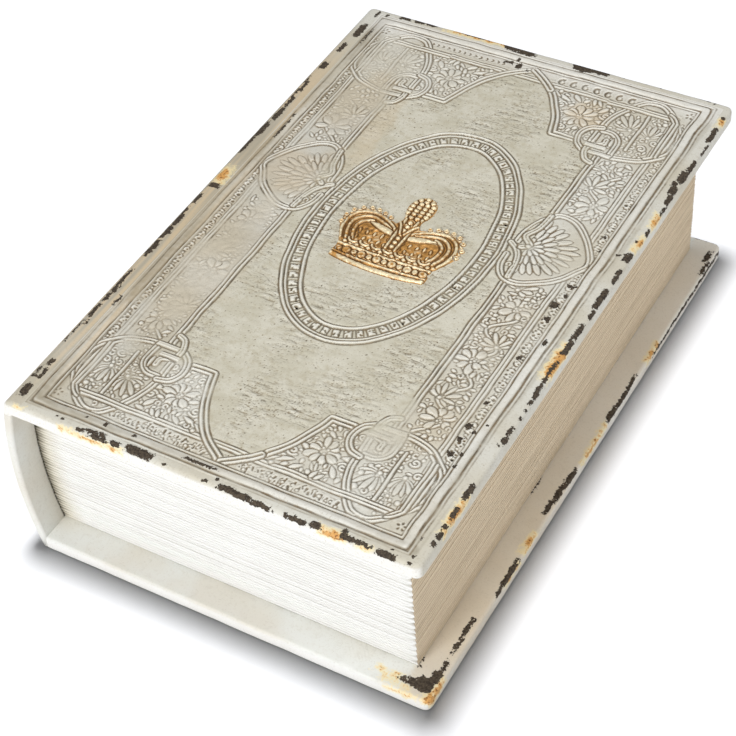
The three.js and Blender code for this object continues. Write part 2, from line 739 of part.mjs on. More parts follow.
add(box, "tray_floor", "wood", trayFloor());
add(box, "spine_wall", "wood", spineWall());
const { x0, y0, x1, y1 } = INSIDE;
add(box, "tail_wall", "wood", block(x0, WALL_TAIL, FLOOR_TOP, x1, y0, WALL_TOP));
add(box, "head_wall", "wood", block(x0, y1, FLOOR_TOP, x1, WALL_HEAD, WALL_TOP));
add(box, "fore_edge_wall", "wood", block(x1, WALL_TAIL, FLOOR_TOP, WALL_FORE, WALL_HEAD, WALL_TOP));
add(box, "tail_pages", "pages", endPages("tail"));
add(box, "head_pages", "pages", endPages("head"));
add(box, "fore_edge_pages", "pages", foreEdgePages());
const lined = FLOOR_TOP + LINING;
add(box, "floor_lining", "lining", block(x0, y0, FLOOR_TOP, x1, y1, lined));
add(box, "spine_lining", "lining", block(x0, y0, lined, x0 + LINING, y1, WALL_TOP));
add(box, "fore_edge_lining", "lining", block(x1 - LINING, y0, lined, x1, y1, WALL_TOP));
add(box, "tail_lining", "lining", block(x0 + LINING, y0, lined, x1 - LINING, y0 + LINING, WALL_TOP));
add(box, "head_lining", "lining", block(x0 + LINING, y1 - LINING, lined, x1 - LINING, y1, WALL_TOP));
add(box, "rim_paper", "pages", rimPaper());

add(lid, "front_board", "board", coverBoard(JOINT_WIDTH, LID_UNDERSIDE + LEATHER));
add(lid, "front_cover_leather", "leather", embossedLeather());
add(lid, "lid_lining", "lining", innerSheet(JOINT_WIDTH + CLEARANCE, LID_UNDERSIDE));
add(lid, "gold_crown", "gilt", crown());

const bookBox = new THREE.Group();
bookBox.add(box, lid);
const spineReach = bow(BOW_MIDDLE, -SEAT - BAND_RISE);
bookBox.position.set(-(COVER_WIDTH + spineReach) / 2, -COVER_LENGTH / 2, 0);

export default bookBox;
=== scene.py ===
"""The finished surfaces of a keepsake box in the shape of an old book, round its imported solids.

Shapes are worked out in millimetres in the covers' own frame: X = 0 at the covers' spine edge and
rising to the fore-edge, Y = 0 at the tail and rising to the head, Z = 0 at the underside. place()
turns them into metres about the box's middle.
"""

import bmesh
import bpy
import numpy as np
from mathutils import Matrix, Vector


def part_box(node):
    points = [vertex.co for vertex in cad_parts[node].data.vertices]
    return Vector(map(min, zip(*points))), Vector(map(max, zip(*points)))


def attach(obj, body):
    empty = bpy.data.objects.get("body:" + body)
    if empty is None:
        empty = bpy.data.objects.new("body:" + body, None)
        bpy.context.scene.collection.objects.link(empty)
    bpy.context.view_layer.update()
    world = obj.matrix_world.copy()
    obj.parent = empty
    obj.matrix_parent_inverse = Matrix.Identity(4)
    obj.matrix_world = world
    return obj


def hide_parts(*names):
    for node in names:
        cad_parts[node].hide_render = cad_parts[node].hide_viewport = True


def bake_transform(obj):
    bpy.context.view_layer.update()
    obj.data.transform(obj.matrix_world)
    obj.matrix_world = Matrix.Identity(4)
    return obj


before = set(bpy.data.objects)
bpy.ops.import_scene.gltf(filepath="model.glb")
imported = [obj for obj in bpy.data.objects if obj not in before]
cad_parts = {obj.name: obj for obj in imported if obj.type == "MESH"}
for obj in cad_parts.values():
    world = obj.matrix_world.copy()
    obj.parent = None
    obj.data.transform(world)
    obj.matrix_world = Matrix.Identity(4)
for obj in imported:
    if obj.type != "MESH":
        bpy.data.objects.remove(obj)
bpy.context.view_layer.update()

MM = 0.001

# Sizes shared with the solids
COVER_LENGTH, COVER_WIDTH, BOX_HEIGHT = 270.0, 170.0, 82.0
BOARD, LEATHER, CORNER_RADIUS = 5.0, 0.8, 3.0
TURN_IN = 15.0
SPINE_SWELL, SPINE_SET, SPINE_THICKNESS = 5.2, 1.2, 4.1
BAND_PLACES = 51.0 + 46.0 * np.arange(5)
JOINT_WIDTH, SHOULDER_RADIUS = 6.0, 4.0
TAIL, HEAD, FORE = 12.5, 261.5, 159.0
FACING, PAGE_PITCH, PAGE_GROOVE = 2.6, 1.56, 0.8
PATTERN_X, PATTERN_Y = 85.2, 134.5
OVAL_Y, OVAL_HALF_X, OVAL_HALF_Y, OVAL_BAND, BEAD_COUNT = 143.3, 38.9, 64.5, 7.6, 68
SHIELD_Y = 157.5
COVER = BOARD + 2 * LEATHER
LID_UNDERSIDE = BOX_HEIGHT - COVER
TRAY_TOP = LID_UNDERSIDE - 0.3
SPINE_TOP = LID_UNDERSIDE - 0.2
BOW_MIDDLE = BOX_HEIGHT / 2
BOW_RADIUS = (BOW_MIDDLE ** 2 + SPINE_SWELL ** 2) / (2 * SPINE_SWELL)
BOW_CENTRE = BOW_RADIUS - SPINE_SWELL - SPINE_SET

# The origin of the covers' frame, seen from the solids' frame
ORIGIN = np.array([
    COVER_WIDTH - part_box("front_cover_leather")[1].x / MM,
    COVER_LENGTH / 2 - (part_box("front_cover_leather")[0].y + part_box("front_cover_leather")[1].y) / 2 / MM,
    0.0,
])


def place(points):
    """Points in the covers' frame, in millimetres, as points in the solids' frame, in metres."""
    return (np.asarray(points, float) - ORIGIN) * MM


# Camera

SENSOR, LENS = 36.0, 93.327
EYE = (374.15, -332.71, 569.52)
RIGHT, DOWN, AHEAD = (0.86787, 0.49297, -0.06143), (0.31335, -0.63918, -0.70233), (-0.38549, 0.59028, -0.7092)


def make_camera():
    """The photo's camera, from the place and directions fitted to it."""
    data = bpy.data.cameras.new("camera")
    data.lens, data.sensor_width = LENS, SENSOR
    data.clip_start, data.clip_end = 0.01, 20
    camera = bpy.data.objects.new("camera", data)
    axes = np.array([RIGHT, -np.array(DOWN), -np.array(AHEAD)]).T
    camera.matrix_world = Matrix.Translation(place(EYE)) @ Matrix(axes).to_4x4()
    bpy.context.scene.collection.objects.link(camera)
    bpy.context.scene.camera = camera


# Meshes

class Shell:
    """Grid surfaces gathered into one mesh, with values at the points for the materials."""

    def __init__(self):
        self.points, self.faces, self.values, self.count = [], [], {}, 0

    def add(self, points, faces, **values):
        """Points of any shape and lists of faces that count from the first of them."""
        points = np.asarray(points, float).reshape(-1, 3)
        for face in faces:
            self.faces.append(np.asarray(face) + self.count)
        for name, value in values.items():
            column = np.broadcast_to(np.asarray(value, float).ravel(), points.shape[0])
            self.values.setdefault(name, []).append((self.count, column))
        self.points.append(points)
        self.count += points.shape[0]

    def body(self, points, faces, **values):
        """A closed body, with its faces turned outwards: their signed volume tells which way they look."""
        flat = np.asarray(points, float).reshape(-1, 3)
        centred = flat - flat.mean(0)
        volume = 0.0
        for face in faces:
            root = centred[face[:, 0]]
            for k in range(1, face.shape[1] - 1):
                volume += np.sum(root * np.cross(centred[face[:, k]], centred[face[:, k + 1]]))
        self.add(flat, faces if volume > 0 else [face[:, ::-1] for face in faces], **values)

    def tube(self, rings, **values):
        """Closed rings of points, (ring, point, 3), each joined to the next, with both ends filled."""
        count, size = rings.shape[:2]
        ends = [fan(np.arange(size)), fan((count - 1) * size + np.arange(size)[::-1])]
        self.body(rings, [grid_faces(count, size, closed=True), *ends], **values)

    def slab(self, top, low, **values):
        """A worked surface, (u, v, 3), with straight sides down to a flat back at height low."""
        nu, nv = top.shape[:2]
        rim = rim_of(nu, nv)
        under = top.reshape(-1, 3)[rim].copy()
        under[:, 2] = low
        foot = nu * nv + np.arange(len(rim))
        padded = {key: np.append(np.broadcast_to(value, (nu, nv)).ravel(), np.zeros(len(rim)))
                  for key, value in values.items()}
        self.body(np.concatenate([top.reshape(-1, 3), under]),
                  [grid_faces(nu, nv), walls(rim, foot), fan(foot[::-1])], **padded)

    def build(self, name, finish, body, replaces=(), smooth=50, merge=False):
        """The mesh as an object that rides on a body and takes its finish from a slot."""
        points = np.concatenate(self.points)
        mesh = bpy.data.meshes.new(name)
        sizes = np.concatenate([np.full(len(f), f.shape[1]) for f in self.faces])
        corners = np.concatenate([f.ravel() for f in self.faces])
        mesh.vertices.add(len(points))
        mesh.vertices.foreach_set("co", place(points).astype(np.float32).ravel())
        mesh.loops.add(len(corners))
        mesh.loops.foreach_set("vertex_index", corners.astype(np.int32))
        mesh.polygons.add(len(sizes))
        starts = np.concatenate([[0], np.cumsum(sizes)[:-1]])
        mesh.polygons.foreach_set("loop_start", starts.astype(np.int32))
        mesh.update(calc_edges=True)
        for key, parts in self.values.items():
            column = np.zeros(len(points), np.float32)
            for start, part in parts:
                column[start:start + len(part)] = part
            mesh.attributes.new(key, "FLOAT", "POINT").data.foreach_set("value", column)
        if merge:
            close_up(mesh)
        mesh.shade_smooth()
        mesh.set_sharp_from_angle(angle=np.radians(smooth))
        mesh.materials.append(finish)
        made = bpy.data.objects.new(name, mesh)
        bpy.context.scene.collection.objects.link(made)
        if body:
            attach(made, body)
        if replaces:
            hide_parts(*replaces)
        return made


def close_up(mesh):
    """Merges points that coincide, as where a rounded corner narrows to one point."""
    bm = bmesh.new()
    bm.from_mesh(mesh)
    bmesh.ops.remove_doubles(bm, verts=bm.verts, dist=2e-6)
    bm.to_mesh(mesh)
    bm.free()


def grid_faces(nu, nv, closed=False):
    """Four-sided faces of a grid, which may close on itself along v."""
    index = np.arange(nu * nv).reshape(nu, nv)
    if closed:
        index = np.concatenate([index, index[:, :1]], axis=1)
    return np.stack([index[:-1, :-1], index[1:, :-1], index[1:, 1:], index[:-1, 1:]], -1).reshape(-1, 4)


def rim_of(nu, nv):
    """The points round a grid's edge, in order."""
    index = np.arange(nu * nv).reshape(nu, nv)
    return np.concatenate([index[:-1, 0], index[-1, :-1], index[:0:-1, -1], index[0, :0:-1]])


def walls(ring, far):
    """Faces between two rings of points."""
    return np.stack([ring, far, np.roll(far, -1), np.roll(ring, -1)], -1)


def fan(ring):
    """One face over a ring of points."""
    return np.asarray(ring)[None, :]


# Forms

def hump(distance, half):
    """A rounded ridge: the fall of a circle, 1 on the line and 0 at half."""
    return np.sqrt(np.clip(1 - (distance / half) ** 2, 0, None))


def ease(value):
    """A smooth step from 0 to 1."""
    value = np.clip(value, 0, 1)
    return value * value * (3 - 2 * value)


def heading(angle):
    """The direction at an angle in radians."""
    return np.array([np.cos(angle), np.sin(angle)])


def clouds(shape, steps, size, seed):
    """Even random noise with features of one size: white noise through a ring of wavelengths."""
    size = np.broadcast_to(np.asarray(size, float), 2)
    white = np.fft.rfft2(np.random.default_rng(seed).standard_normal(shape))
    u = np.fft.fftfreq(shape[0], steps[0])[:, None] * size[0]
    v = np.fft.rfftfreq(shape[1], steps[1])[None, :] * size[1]
    reach = np.hypot(u, v)
    made = np.fft.irfft2(white * np.exp(-((reach - 0.5) / 0.35) ** 2), shape)
    return made / made.std()


def blurred(values, steps, size):
    """Values averaged over a round patch."""
    u = np.fft.fftfreq(values.shape[0], steps[0])[:, None]
    v = np.fft.rfftfreq(values.shape[1], steps[1])[None, :]
    soft = np.exp(-2 * (np.pi * size) ** 2 * (u ** 2 + v ** 2))
    return np.fft.irfft2(np.fft.rfft2(values) * soft, values.shape)


def bow(height, inset=0.0):
    """X of the spine's outer face at a height, moved in towards the pages by inset: a shallow arc."""
    return BOW_CENTRE - np.sqrt((BOW_RADIUS - inset) ** 2 - (height - BOW_MIDDLE) ** 2)


# Relief of the front cover

# Where the folded edge meets the relief, the relief's grid step, and the level of the punched bands
RIM = 3.4
FACE_STEP = 0.27
BAND_LEVEL = -0.12


class Relief:
    """Heights over the cover's face on a regular grid. Each tool works one form into them."""

    def __init__(self, x, y):
        self.x, self.y = x, y
        self.step = (x[1] - x[0], y[1] - y[0])
        self.height = np.zeros((x.size, y.size))
        self.used = np.zeros((x.size, y.size))
        self.stain = np.zeros((x.size, y.size))

    def window(self, points, reach):
        """The grid's rows and columns round some points."""
        points = np.atleast_2d(points)
        low, high = points.min(0) - reach, points.max(0) + reach
        rows = np.searchsorted(self.x, [low[0], high[0]])
        columns = np.searchsorted(self.y, [low[1], high[1]])
        return slice(*rows), slice(*columns)

    def distance(self, path, reach, square=False):
        """Distance from each grid point to a path of straight runs, out to reach. A square end is cut
        across where the path stops, and the other kind is round."""
        whole = self.window(path, reach)
        top, left = whole[0].start, whole[1].start
        far = np.full((whole[0].stop - top, whole[1].stop - left), reach, float)
        last = len(path) - 2
        for number, (a, b) in enumerate(zip(path[:-1], path[1:])):
            i, j = self.window([a, b], reach)
            px, py = self.x[i, None] - a[0], self.y[None, j] - a[1]
            run = b - a
            reached = (px * run[0] + py * run[1]) / max(run @ run, 1e-9)
            share = np.clip(reached, 0, 1)
            gap = np.hypot(px - share * run[0], py - share * run[1])
            if square and number == 0:
                gap = np.where(reached < 0, reach, gap)
            if square and number == last:
                gap = np.where(reached > 1, reach, gap)
            part = far[i.start - top:i.stop - top, j.start - left:j.stop - left]
            np.minimum(part, gap, out=part)
        return whole, far

    def work(self, window, height, cover):
        """Brings the heights in a window to a form's own, as far as cover says."""
        here = self.height[window]
        here += (height - here) * cover
        np.maximum(self.used[window], cover, out=self.used[window])

    def line(self, path, half, rise, groove=0.0, base=0.0):
        """A single ridge, or a furrow where rise is below zero, with a groove along each side."""
        window, far = self.distance(np.asarray(path, float), half + 1.2)
        flank = hump(far - half - 0.3, 0.42) * -groove
        self.work(window, base + hump(far, half) * rise + flank, ease((half + 0.75 - far) / 0.3))

    def strap(self, path, width, rail=0.46):
        """A band of two round rails with a furrow between them and a groove outside each. An open band
        is cut square, as where it passes under another."""
        path = np.asarray(path, float)
        half = width / 2
        window, far = self.distance(path, half + 1.5, square=not np.allclose(path[0], path[-1]))
        height = hump(far - half + 0.52, 0.52) * rail - hump(far, max(half - 1.0, 1e-6)) * 0.2
        height -= hump(far - half - 0.3, 0.38) * 0.26
        self.work(window, height, ease((half + 0.85 - far) / 0.3))

    def dome(self, centre, radius, rise, groove=0.18, base=0.0, dimple=0.0):
        """A round bead with a groove about it, and a dimple in its top if wanted."""
        window = self.window(centre, radius + 1)
        far = np.hypot(self.x[window[0], None] - centre[0], self.y[None, window[1]] - centre[1])
        height = base + hump(far, radius) * rise - hump(far - radius - 0.2, 0.4) * groove
        height -= hump(far, radius * 0.5) * dimple
        self.work(window, height, ease((radius + 0.6 - far) / 0.3))

    def petal(self, root, tip, width, rise=0.5, groove=0.28, vein=0.12, base=0.0):
        """A leaf from its root to its tip: widest past the middle, with a vein and an outline groove."""
        root, tip = np.asarray(root, float), np.asarray(tip, float)
        run = tip - root
        length = np.hypot(*run)
        along = run / length
        window = self.window([root, tip], width / 2 + 1)
        px, py = self.x[window[0], None] - root[0], self.y[None, window[1]] - root[1]
        u = (px * along[0] + py * along[1]) / length
        v = np.abs(py * along[0] - px * along[1])
        edge = width / 2 * np.sqrt(np.clip(np.sin(np.pi * np.clip(u, 0, 1) ** 1.3), 0, None))
        out = np.maximum(v - edge, np.maximum(-u, u - 1) * length)
        depth = np.clip(-out / (width / 2), 0, 1)
        height = base + rise * np.sqrt(depth) - vein * hump(v, 0.32) * (depth > 0)
        height -= groove * hump(out - 0.15, 0.38)
        self.work(window, height, ease((0.5 - out) / 0.25))

    def blossom(self, centre, radius, seed, petals, start=0.0, spread=360.0):
        """An open flower: petals of differing length and breadth round a few beads set off centre."""
        draw = np.random.default_rng(seed)
        centre = np.asarray(centre, float)
        turns = np.arange(petals) + draw.uniform(-0.22, 0.22, petals)
        for angle in np.radians(start + spread * turns / petals):
            way = heading(angle)
            reach = radius * draw.uniform(0.68, 1.08)
            self.petal(centre + way * radius * draw.uniform(0.16, 0.26), centre + way * reach,
                       radius * draw.uniform(0.34, 0.54), rise=draw.uniform(0.36, 0.6), vein=0.14)
        for x, y in draw.uniform(-0.17, 0.17, (4, 2)) * radius:
            self.dome(centre + (x, y), 0.5, 0.36, groove=0.2)

    def bare_spots(self, outline, spacing, sway, room, draw):
        """Places on a shaken grid inside an outline, each given only if its ground is still bare by then."""
        low, high = np.min(outline, 0), np.max(outline, 0)
        x, y = np.meshgrid(*(np.arange(low[k], high[k], spacing) for k in (0, 1)), indexing="ij")
        x = x + draw.uniform(-sway, sway, x.shape) * spacing
        y = y + draw.uniform(-sway, sway, x.shape) * spacing
        for spot in np.stack([x, y], -1)[inside(outline, x, y)]:
            i, j = np.searchsorted(self.x, spot[0]), np.searchsorted(self.y, spot[1])
            if self.used[i - room:i + room + 1, j - room:j + room + 1].max() <= 0.3:
                yield spot

    def foliage(self, outline, whorls, spacing, seed):
        """Curling leaves over the bare ground inside an outline, each laid along the turn of its whorl."""
        draw = np.random.default_rng(seed)
        for spot in self.bare_spots(outline, spacing, 0.35, 2, draw):
            away = spot - whorls[np.argmin(np.hypot(*(whorls - spot).T))]
            angle = np.arctan2(away[1], away[0]) + np.pi / 2 + draw.uniform(-0.6, 0.6)
            way = heading(angle) * draw.uniform(1.0, 2.1)
            self.petal(spot - way, spot + way, draw.uniform(1.2, 2.1), rise=draw.uniform(0.3, 0.55), vein=0.1)

    def spray(self, root, middle, reach, leaves, spread, seed):
        """A fan of curling leaves from one root, the middle ones longest."""
        draw = np.random.default_rng(seed)
        for share in np.linspace(-1, 1, leaves)[np.argsort(-np.abs(np.linspace(-1, 1, leaves)))]:
            angle = np.radians(middle + share * spread / 2 + draw.uniform(-5, 5))
            length = reach * (1 - 0.4 * share ** 2) * draw.uniform(0.85, 1.05)
            way = heading(angle)
            self.petal(root + way * length * draw.uniform(0.1, 0.24), root + way * length,
                       draw.uniform(1.4, 2.4), rise=draw.uniform(0.36, 0.56), vein=0.16)
        self.dome(root, 0.8, 0.42)

    def fill(self, outline, spacing, seed):
        """Small leaves, seeds and curls over whatever ground is still bare inside an outline."""
        draw = np.random.default_rng(seed)
        for spot in self.bare_spots(outline, spacing, 0.3, 1, draw):
            kind, angle = draw.uniform(), draw.uniform(0, 2 * np.pi)
            way = heading(angle) * draw.uniform(0.8, 1.3)
            if kind < 0.62:
                self.petal(spot - way, spot + way, draw.uniform(1.1, 1.5), rise=0.36, vein=0.0)
            elif kind < 0.85:
                self.dome(spot, draw.uniform(0.45, 0.7), 0.34)
            else:
                turn = np.degrees(angle)
                self.line(ellipse(spot, (0.85, 0.95), turn, turn + 250, steps=10), 0.3, 0.3, groove=0.2)


def inside(outline, x, y):
    """Whether points lie inside a closed outline: an odd number of its edges pass to their right."""
    odd = np.zeros(x.shape, bool)
    for (ax, ay), (bx, by) in zip(outline, np.roll(outline, -1, 0)):
        if ay != by:
            odd ^= ((ay > y) != (by > y)) & (x < (bx - ax) * (y - ay) / (by - ay) + ax)
    return odd


def quarter(side, end):
    """Turns places counted from the pattern's middle towards one corner into places on the cover."""
    def at(*points):
        found = np.array([PATTERN_X, PATTERN_Y]) + np.array(points, float).reshape(-1, 2) * (side, end)
        return found if len(points) > 1 else found[0]
    return at


def curve(points, steps=12):
    """A smooth line through points, by cubic spans whose slopes come from the neighbours."""
    points = np.asarray(points, float)
    padded = np.concatenate([[2 * points[0] - points[1]], points, [2 * points[-1] - points[-2]]])
    t = np.linspace(0, 1, steps, endpoint=False)[:, None]
    spans = []
    for a, b, c, d in zip(padded, padded[1:], padded[2:], padded[3:]):
        spans.append(0.5 * (2 * b + (c - a) * t + (2 * a - 5 * b + 4 * c - d) * t ** 2
                            + (3 * b - a - 3 * c + d) * t ** 3))
    return np.concatenate(spans + [points[-1:]])


def ellipse(centre, half, start=0.0, stop=360.0, squareness=2.0, steps=96):
    """An arc of an ellipse, squarer than one where squareness is over 2."""
    angle = np.radians(np.linspace(start, stop, steps))
    c, s = np.cos(angle), np.sin(angle)
    power = 2 / squareness
    return np.stack([centre[0] + half[0] * np.sign(c) * np.abs(c) ** power,
                     centre[1] + half[1] * np.sign(s) * np.abs(s) ** power], 1)


def spiral(centre, radius, start, turns):
    """A curl that tightens towards its centre."""
    share = np.linspace(0, 1, 30)
    angle = np.radians(start) + 2 * np.pi * turns * share
    reach = radius * (1 - 0.8 * share)
    return np.stack([centre[0] + reach * np.cos(angle), centre[1] + reach * np.sin(angle)], 1)


def box_path(left, low, right, high):
    """A closed path round a box."""
    return np.array([[left, low], [right, low], [right, high], [left, high], [left, low]], float)


def frame_borders(relief):
    """The strap round the pattern. The band outside it lies a little lower than the leather about it."""
    window, far = relief.distance(box_path(13.6, 12, 155.9, 257.4), 6)
    relief.work(window, BAND_LEVEL, ease((2.6 - far) / 0.5))
    relief.strap(box_path(17.4, 17.4, 152, 252.2), 2.4, rail=0.4)


MOULDING = (9.4, 7.1, 160.7, 262.9)


def frame_rolls(relief):
    """The mouldings round the whole pattern, laid over the arches' points."""
    relief.line(box_path(*MOULDING), 1.6, 0.42, groove=0.34)
    relief.line(box_path(6.9, 4.5, 163.5, 265.5), 0.4, 0.16, groove=0.12)
    relief.line(box_path(11.9, 9.6, 158.3, 260.3), 0.36, 0.22, groove=0.28)


def bead_bands(relief):
    """Punched marks in the bands: pairs of commas at the sides, crooks at the head, a chain at the tail."""
    draw = np.random.default_rng(5)
    sway = draw.uniform

    def bead(centre, radius, rise, groove):
        relief.dome(centre, radius, rise, groove=groove, base=BAND_LEVEL)

    def furrow(path, half, depth, groove):
        relief.line(path, half, -depth, groove=-groove, base=BAND_LEVEL)
    for y in np.arange(27.3, 247, 7.3):
        for x in (13.7, 156.0):
            middle = np.array([x, y]) + sway(-0.2, 0.2, 2)
            for dy in (-1.4, 1.4):
                bead(middle + (sway(-0.2, 0.2), dy), sway(1.1, 1.45), 0.3, sway(0.35, 0.55))
            for spot in ((-0.9, 1.6), (0.8, 0.9), (-0.8, -0.6), (0.9, -1.7)):
                bead(middle + spot + sway(-0.35, 0.35, 2), sway(0.3, 0.85), -0.66, -0.1)
            bead(middle + (0, 3.65), 0.5, 0.25, 0.24)
    for i, x in enumerate(np.arange(99, 134, 5.3)):
        furrow(ellipse((x, 256.1), (1.25, 1.6), 60 + 15 * (i % 3), 330, steps=16), 0.6, 0.5, 0.16)
        bead((x + 0.2, 256.0), 0.5, 0.26, 0.3)
    for x in np.arange(37, 72, 2.6):
        furrow([[x, 257.6], [x + sway(0.3, 0.9), 256.9], [x + sway(-0.2, 0.5), 256.2]], 0.42, 0.3, 0.12)
    for x in np.arange(38, 132, 1.05):
        if abs(x - 86) < 6:
            continue
        middle = np.array([x + sway(-0.3, 0.3), sway(11.2, 14.0)])
        way = sway(-0.35, 0.35), sway(0.4, 1.2)
        furrow([middle - way, middle + way], sway(0.35, 0.6), 0.6 * sway(0.5, 1.1), 0.2)
        bead(middle + sway(-1.2, 1.2, 2), sway(0.4, 0.7), 0.3, 0.2)
    for corner in ((14, 13.4), (156, 13.4), (14, 256.6), (156, 256.6)):
        for angle in np.radians(90 + 72 * np.arange(5)):
            relief.petal(corner + 0.5 * heading(angle), corner + 2.2 * heading(angle), 1.3, rise=-0.36,
                         groove=-0.1, vein=0, base=BAND_LEVEL)


def scroll_panel(relief, side, low, high, seed):
    """A tall posy between two heights: a swaying stem with open flowers, and leaves that curl about it."""
    inner, middle, outer = 50.4, 57.3, 64.4
    at = quarter(side, 1)
    turns = np.arange(low + 1, high, 9.5)
    sway = np.stack([middle + 4.2 * np.where(np.arange(turns.size) % 2, 1, -1), turns - PATTERN_Y], 1)
    relief.line(at(*curve(sway)), 0.5, 0.36, groove=0.3)
    draw = np.random.default_rng(seed)
    for i, y in enumerate(np.arange(low + 10, high - 4, 31.0)):
        lean = 1 if i % 2 else -1
        root, heart = at((middle + 3.4 * lean, y + 9.6 - PATTERN_Y), (middle - 1.6 * lean, y - PATTERN_Y))
        relief.spray(root, 90 + 30 * lean * side, 8.4, 7, 190, seed + i)
        relief.blossom(heart, draw.uniform(6.8, 8.2), seed + 7 * i, 7, draw.uniform(0, 360), 300)
    panel = at(*box_path(inner, low - PATTERN_Y, outer, high - PATTERN_Y)[:-1])
    relief.foliage(panel, at(*(sway + (0, 4.7))), 2.35, seed)
    relief.fill(panel, 1.9, seed)


def spandrel(relief, side, end):
    """The corner between the frame, the arch and the cartouche: an open flower with leaves and curls."""
    at = quarter(side, end)
    leaves = [((27, 98), (24.2, 92.4), 2.4), ((26, 105), (21.6, 103.0), 2.1), ((36, 108), (39.6, 112.8), 2.4),
              ((23, 111), (15.8, 113.6), 2.2), ((38, 99), (41.8, 94.6), 2.4), ((34, 95), (32.6, 91.2), 2.0),
              ((27, 112), (22.6, 115.6), 2.1), ((33, 112), (31.6, 116.2), 2.0),
              ((18, 112), (10.8, 116.0), 1.8), ((37, 103), (42.2, 102.6), 2.4),
              ((36, 112.5), (33.4, 116.2), 1.9)]
    for root, tip, width in leaves:
        relief.petal(at(root), at(tip), width)
    for centre, radius, start, turns in (((20.2, 107.6), 2.3, 30, 1.3), ((39.8, 107.0), 2.1, 200, 1.3),
                                         ((26.4, 94.0), 1.9, 120, 1.2), ((39.4, 91.6), 1.6, 0, 1.2)):
        relief.line(at(*spiral(centre, radius, start, turns)), 0.4, 0.36, groove=0.24)
    relief.blossom(at((30.2, 103.2)), 7.4, 60 + side + 3 * end, 10)
    for spot in ((22.6, 98.4), (36.8, 92.6), (16.4, 115.6), (42, 98.8)):
        relief.dome(at(spot), 0.85, 0.4)
    ground = at((24, 90.6), (42, 90.6), (42.6, 116), (11, 116), (18.4, 108), (22, 100))
    relief.foliage(ground, at((25, 98), (37, 110), (20, 112)), 2.3, 30 + side + 3 * end)
    relief.fill(ground, 1.9, 30 + side + 3 * end)


def cartouche(relief, side, end):
    """A strap ring at a corner, laced over the frame lines, with a buckle and leaves inside it."""
    at = quarter(side, end)
    ring_middle = (57.6, 104.4)
    # what lies inside the ring: two sprays, seeds and a split bar
    relief.spray(at((52.6, 103.4)), 90 * end + 30 * side * end, 10.5, 8, 150, 71)
    relief.spray(at((61.4, 101.6)), 90 * end, 9.6, 7, 110, 72)
    for x, y, radius in ((47.4, 112.4, 1.3), (46.6, 106.2, 1.1), (64.4, 112.6, 1.1), (52.2, 118.6, 1.0)):
        relief.dome(at((x, y)), radius, 0.42)
    for x, y, turn in ((61.6, 94.2, 150), (65.0, 99.6, 30), (48.6, 116.0, 200)):
        relief.line(at(*spiral((x, y), 1.9, turn, -1.2)), 0.4, 0.36, groove=0.24)
    relief.fill(at(*ellipse(ring_middle, (13.2, 17.8), squareness=2.5, steps=32)), 1.9, 40 + side + 3 * end)
    relief.line(at((56.3, 116.4), (56.3, 91.2)), 0.6, 0.36, groove=0.3)
    # the frame's straps, then the ring over one of them and under the other
    relief.strap(at((37, 117.1), (66.4, 117.1)), 2.5)
    relief.strap(at(*curve(RING)), 2.5)
    relief.line(at(*ellipse((58.8, 104.2), (11.6, 16.4), -64, 70, squareness=2.5)), 0.5, 0.34, groove=0.26)
    relief.strap(at((67.8, 115.2), (67.8, 91.4)), 2.5)
    relief.strap(at((44.4, 117.1), (61.4, 117.1)), 2.5)
    # the buckle's frame, its bars, and the two links that join it to the field's outline
    for width, link in ((2.4, [(51.4, 84.0), (51.8, 90), (51.2, 95), (47.6, 98.4), (42.6, 98.6)]),
                        (2.4, [(40.6, 84.0), (36.6, 87.8), (35.2, 93.5), (37.7, 98.4), (42.6, 100.2)]),
                        (2.2, [(47, 77.6), (43.4, 79.4), (41.6, 84), (42.6, 88.4), (46.6, 90.6),
                               (46.8, 94)])):
        relief.strap(at(*curve(link)), width)
    relief.strap(at((52.4, 84.0), (43.0, 84.0)), 2.0)
    relief.strap(at((48.6, 88.2), (40.2, 88.2)), 2.0)
    relief.petal(at((49.0, 96.2)), at((49.2, 90.2)), 1.7, vein=0.0)


RING = [(41.7, 90.5), (41.7, 102.5), (43.4, 109.6), (46.2, 115.2), (48.6, 119.6), (52.2, 123.0),
        (58.2, 123.6), (63.2, 120.6), (66.8, 116.6), (69.6, 113), (72.5, 108), (73.4, 101.5), (72.0, 94.8),
        (68.2, 90.3), (63.2, 86.6), (55.2, 84.5), (50.4, 84.2)]
ARCH = [(24.9, 88.6), (22.8, 95), (19.4, 103), (14.6, 111), (8.6, 117.6), (-0.6, 124.2)]
STRAIGHT_LOW, STRAIGHT_HIGH = 2.2, 43.5


def field_outline(relief):
    """Line about the plain field: straight sides, a step in at each corner, a pointed arch at each end."""
    for side in (-1, 1):
        for end, low in ((-1, -STRAIGHT_LOW), (1, STRAIGHT_HIGH)):
            at = quarter(side, end)
            relief.strap(at((47.4, low), (47.4, 83)), 2.7)
            relief.strap(at((37.5, 88.6), (25.6, 88.6), *curve(ARCH)), 2.9)
    # one arch of each pair crosses over the other at its point
    for side, end in ((1, 1), (1, -1)):
        relief.strap(quarter(side, end)(*curve(ARCH)[-20:]), 2.9)


def field_mask(relief):
    """1 on the plain field inside its outline and off the oval's band, fading over a millimetre."""
    sides = []
    for side, end in ((1, -1), (1, 1), (-1, 1), (-1, -1)):
        corner = quarter(side, end)(*([(47.4, 83), (40, 88.6)] + ARCH[:-1] + [(0, 123.8)]))
        sides.append(corner if side * end > 0 else corner[::-1])
    x, y = np.meshgrid(relief.x, relief.y, indexing="ij")
    mask = inside(np.concatenate(sides), x, y).astype(float)
    return blurred(mask, relief.step, 0.8)


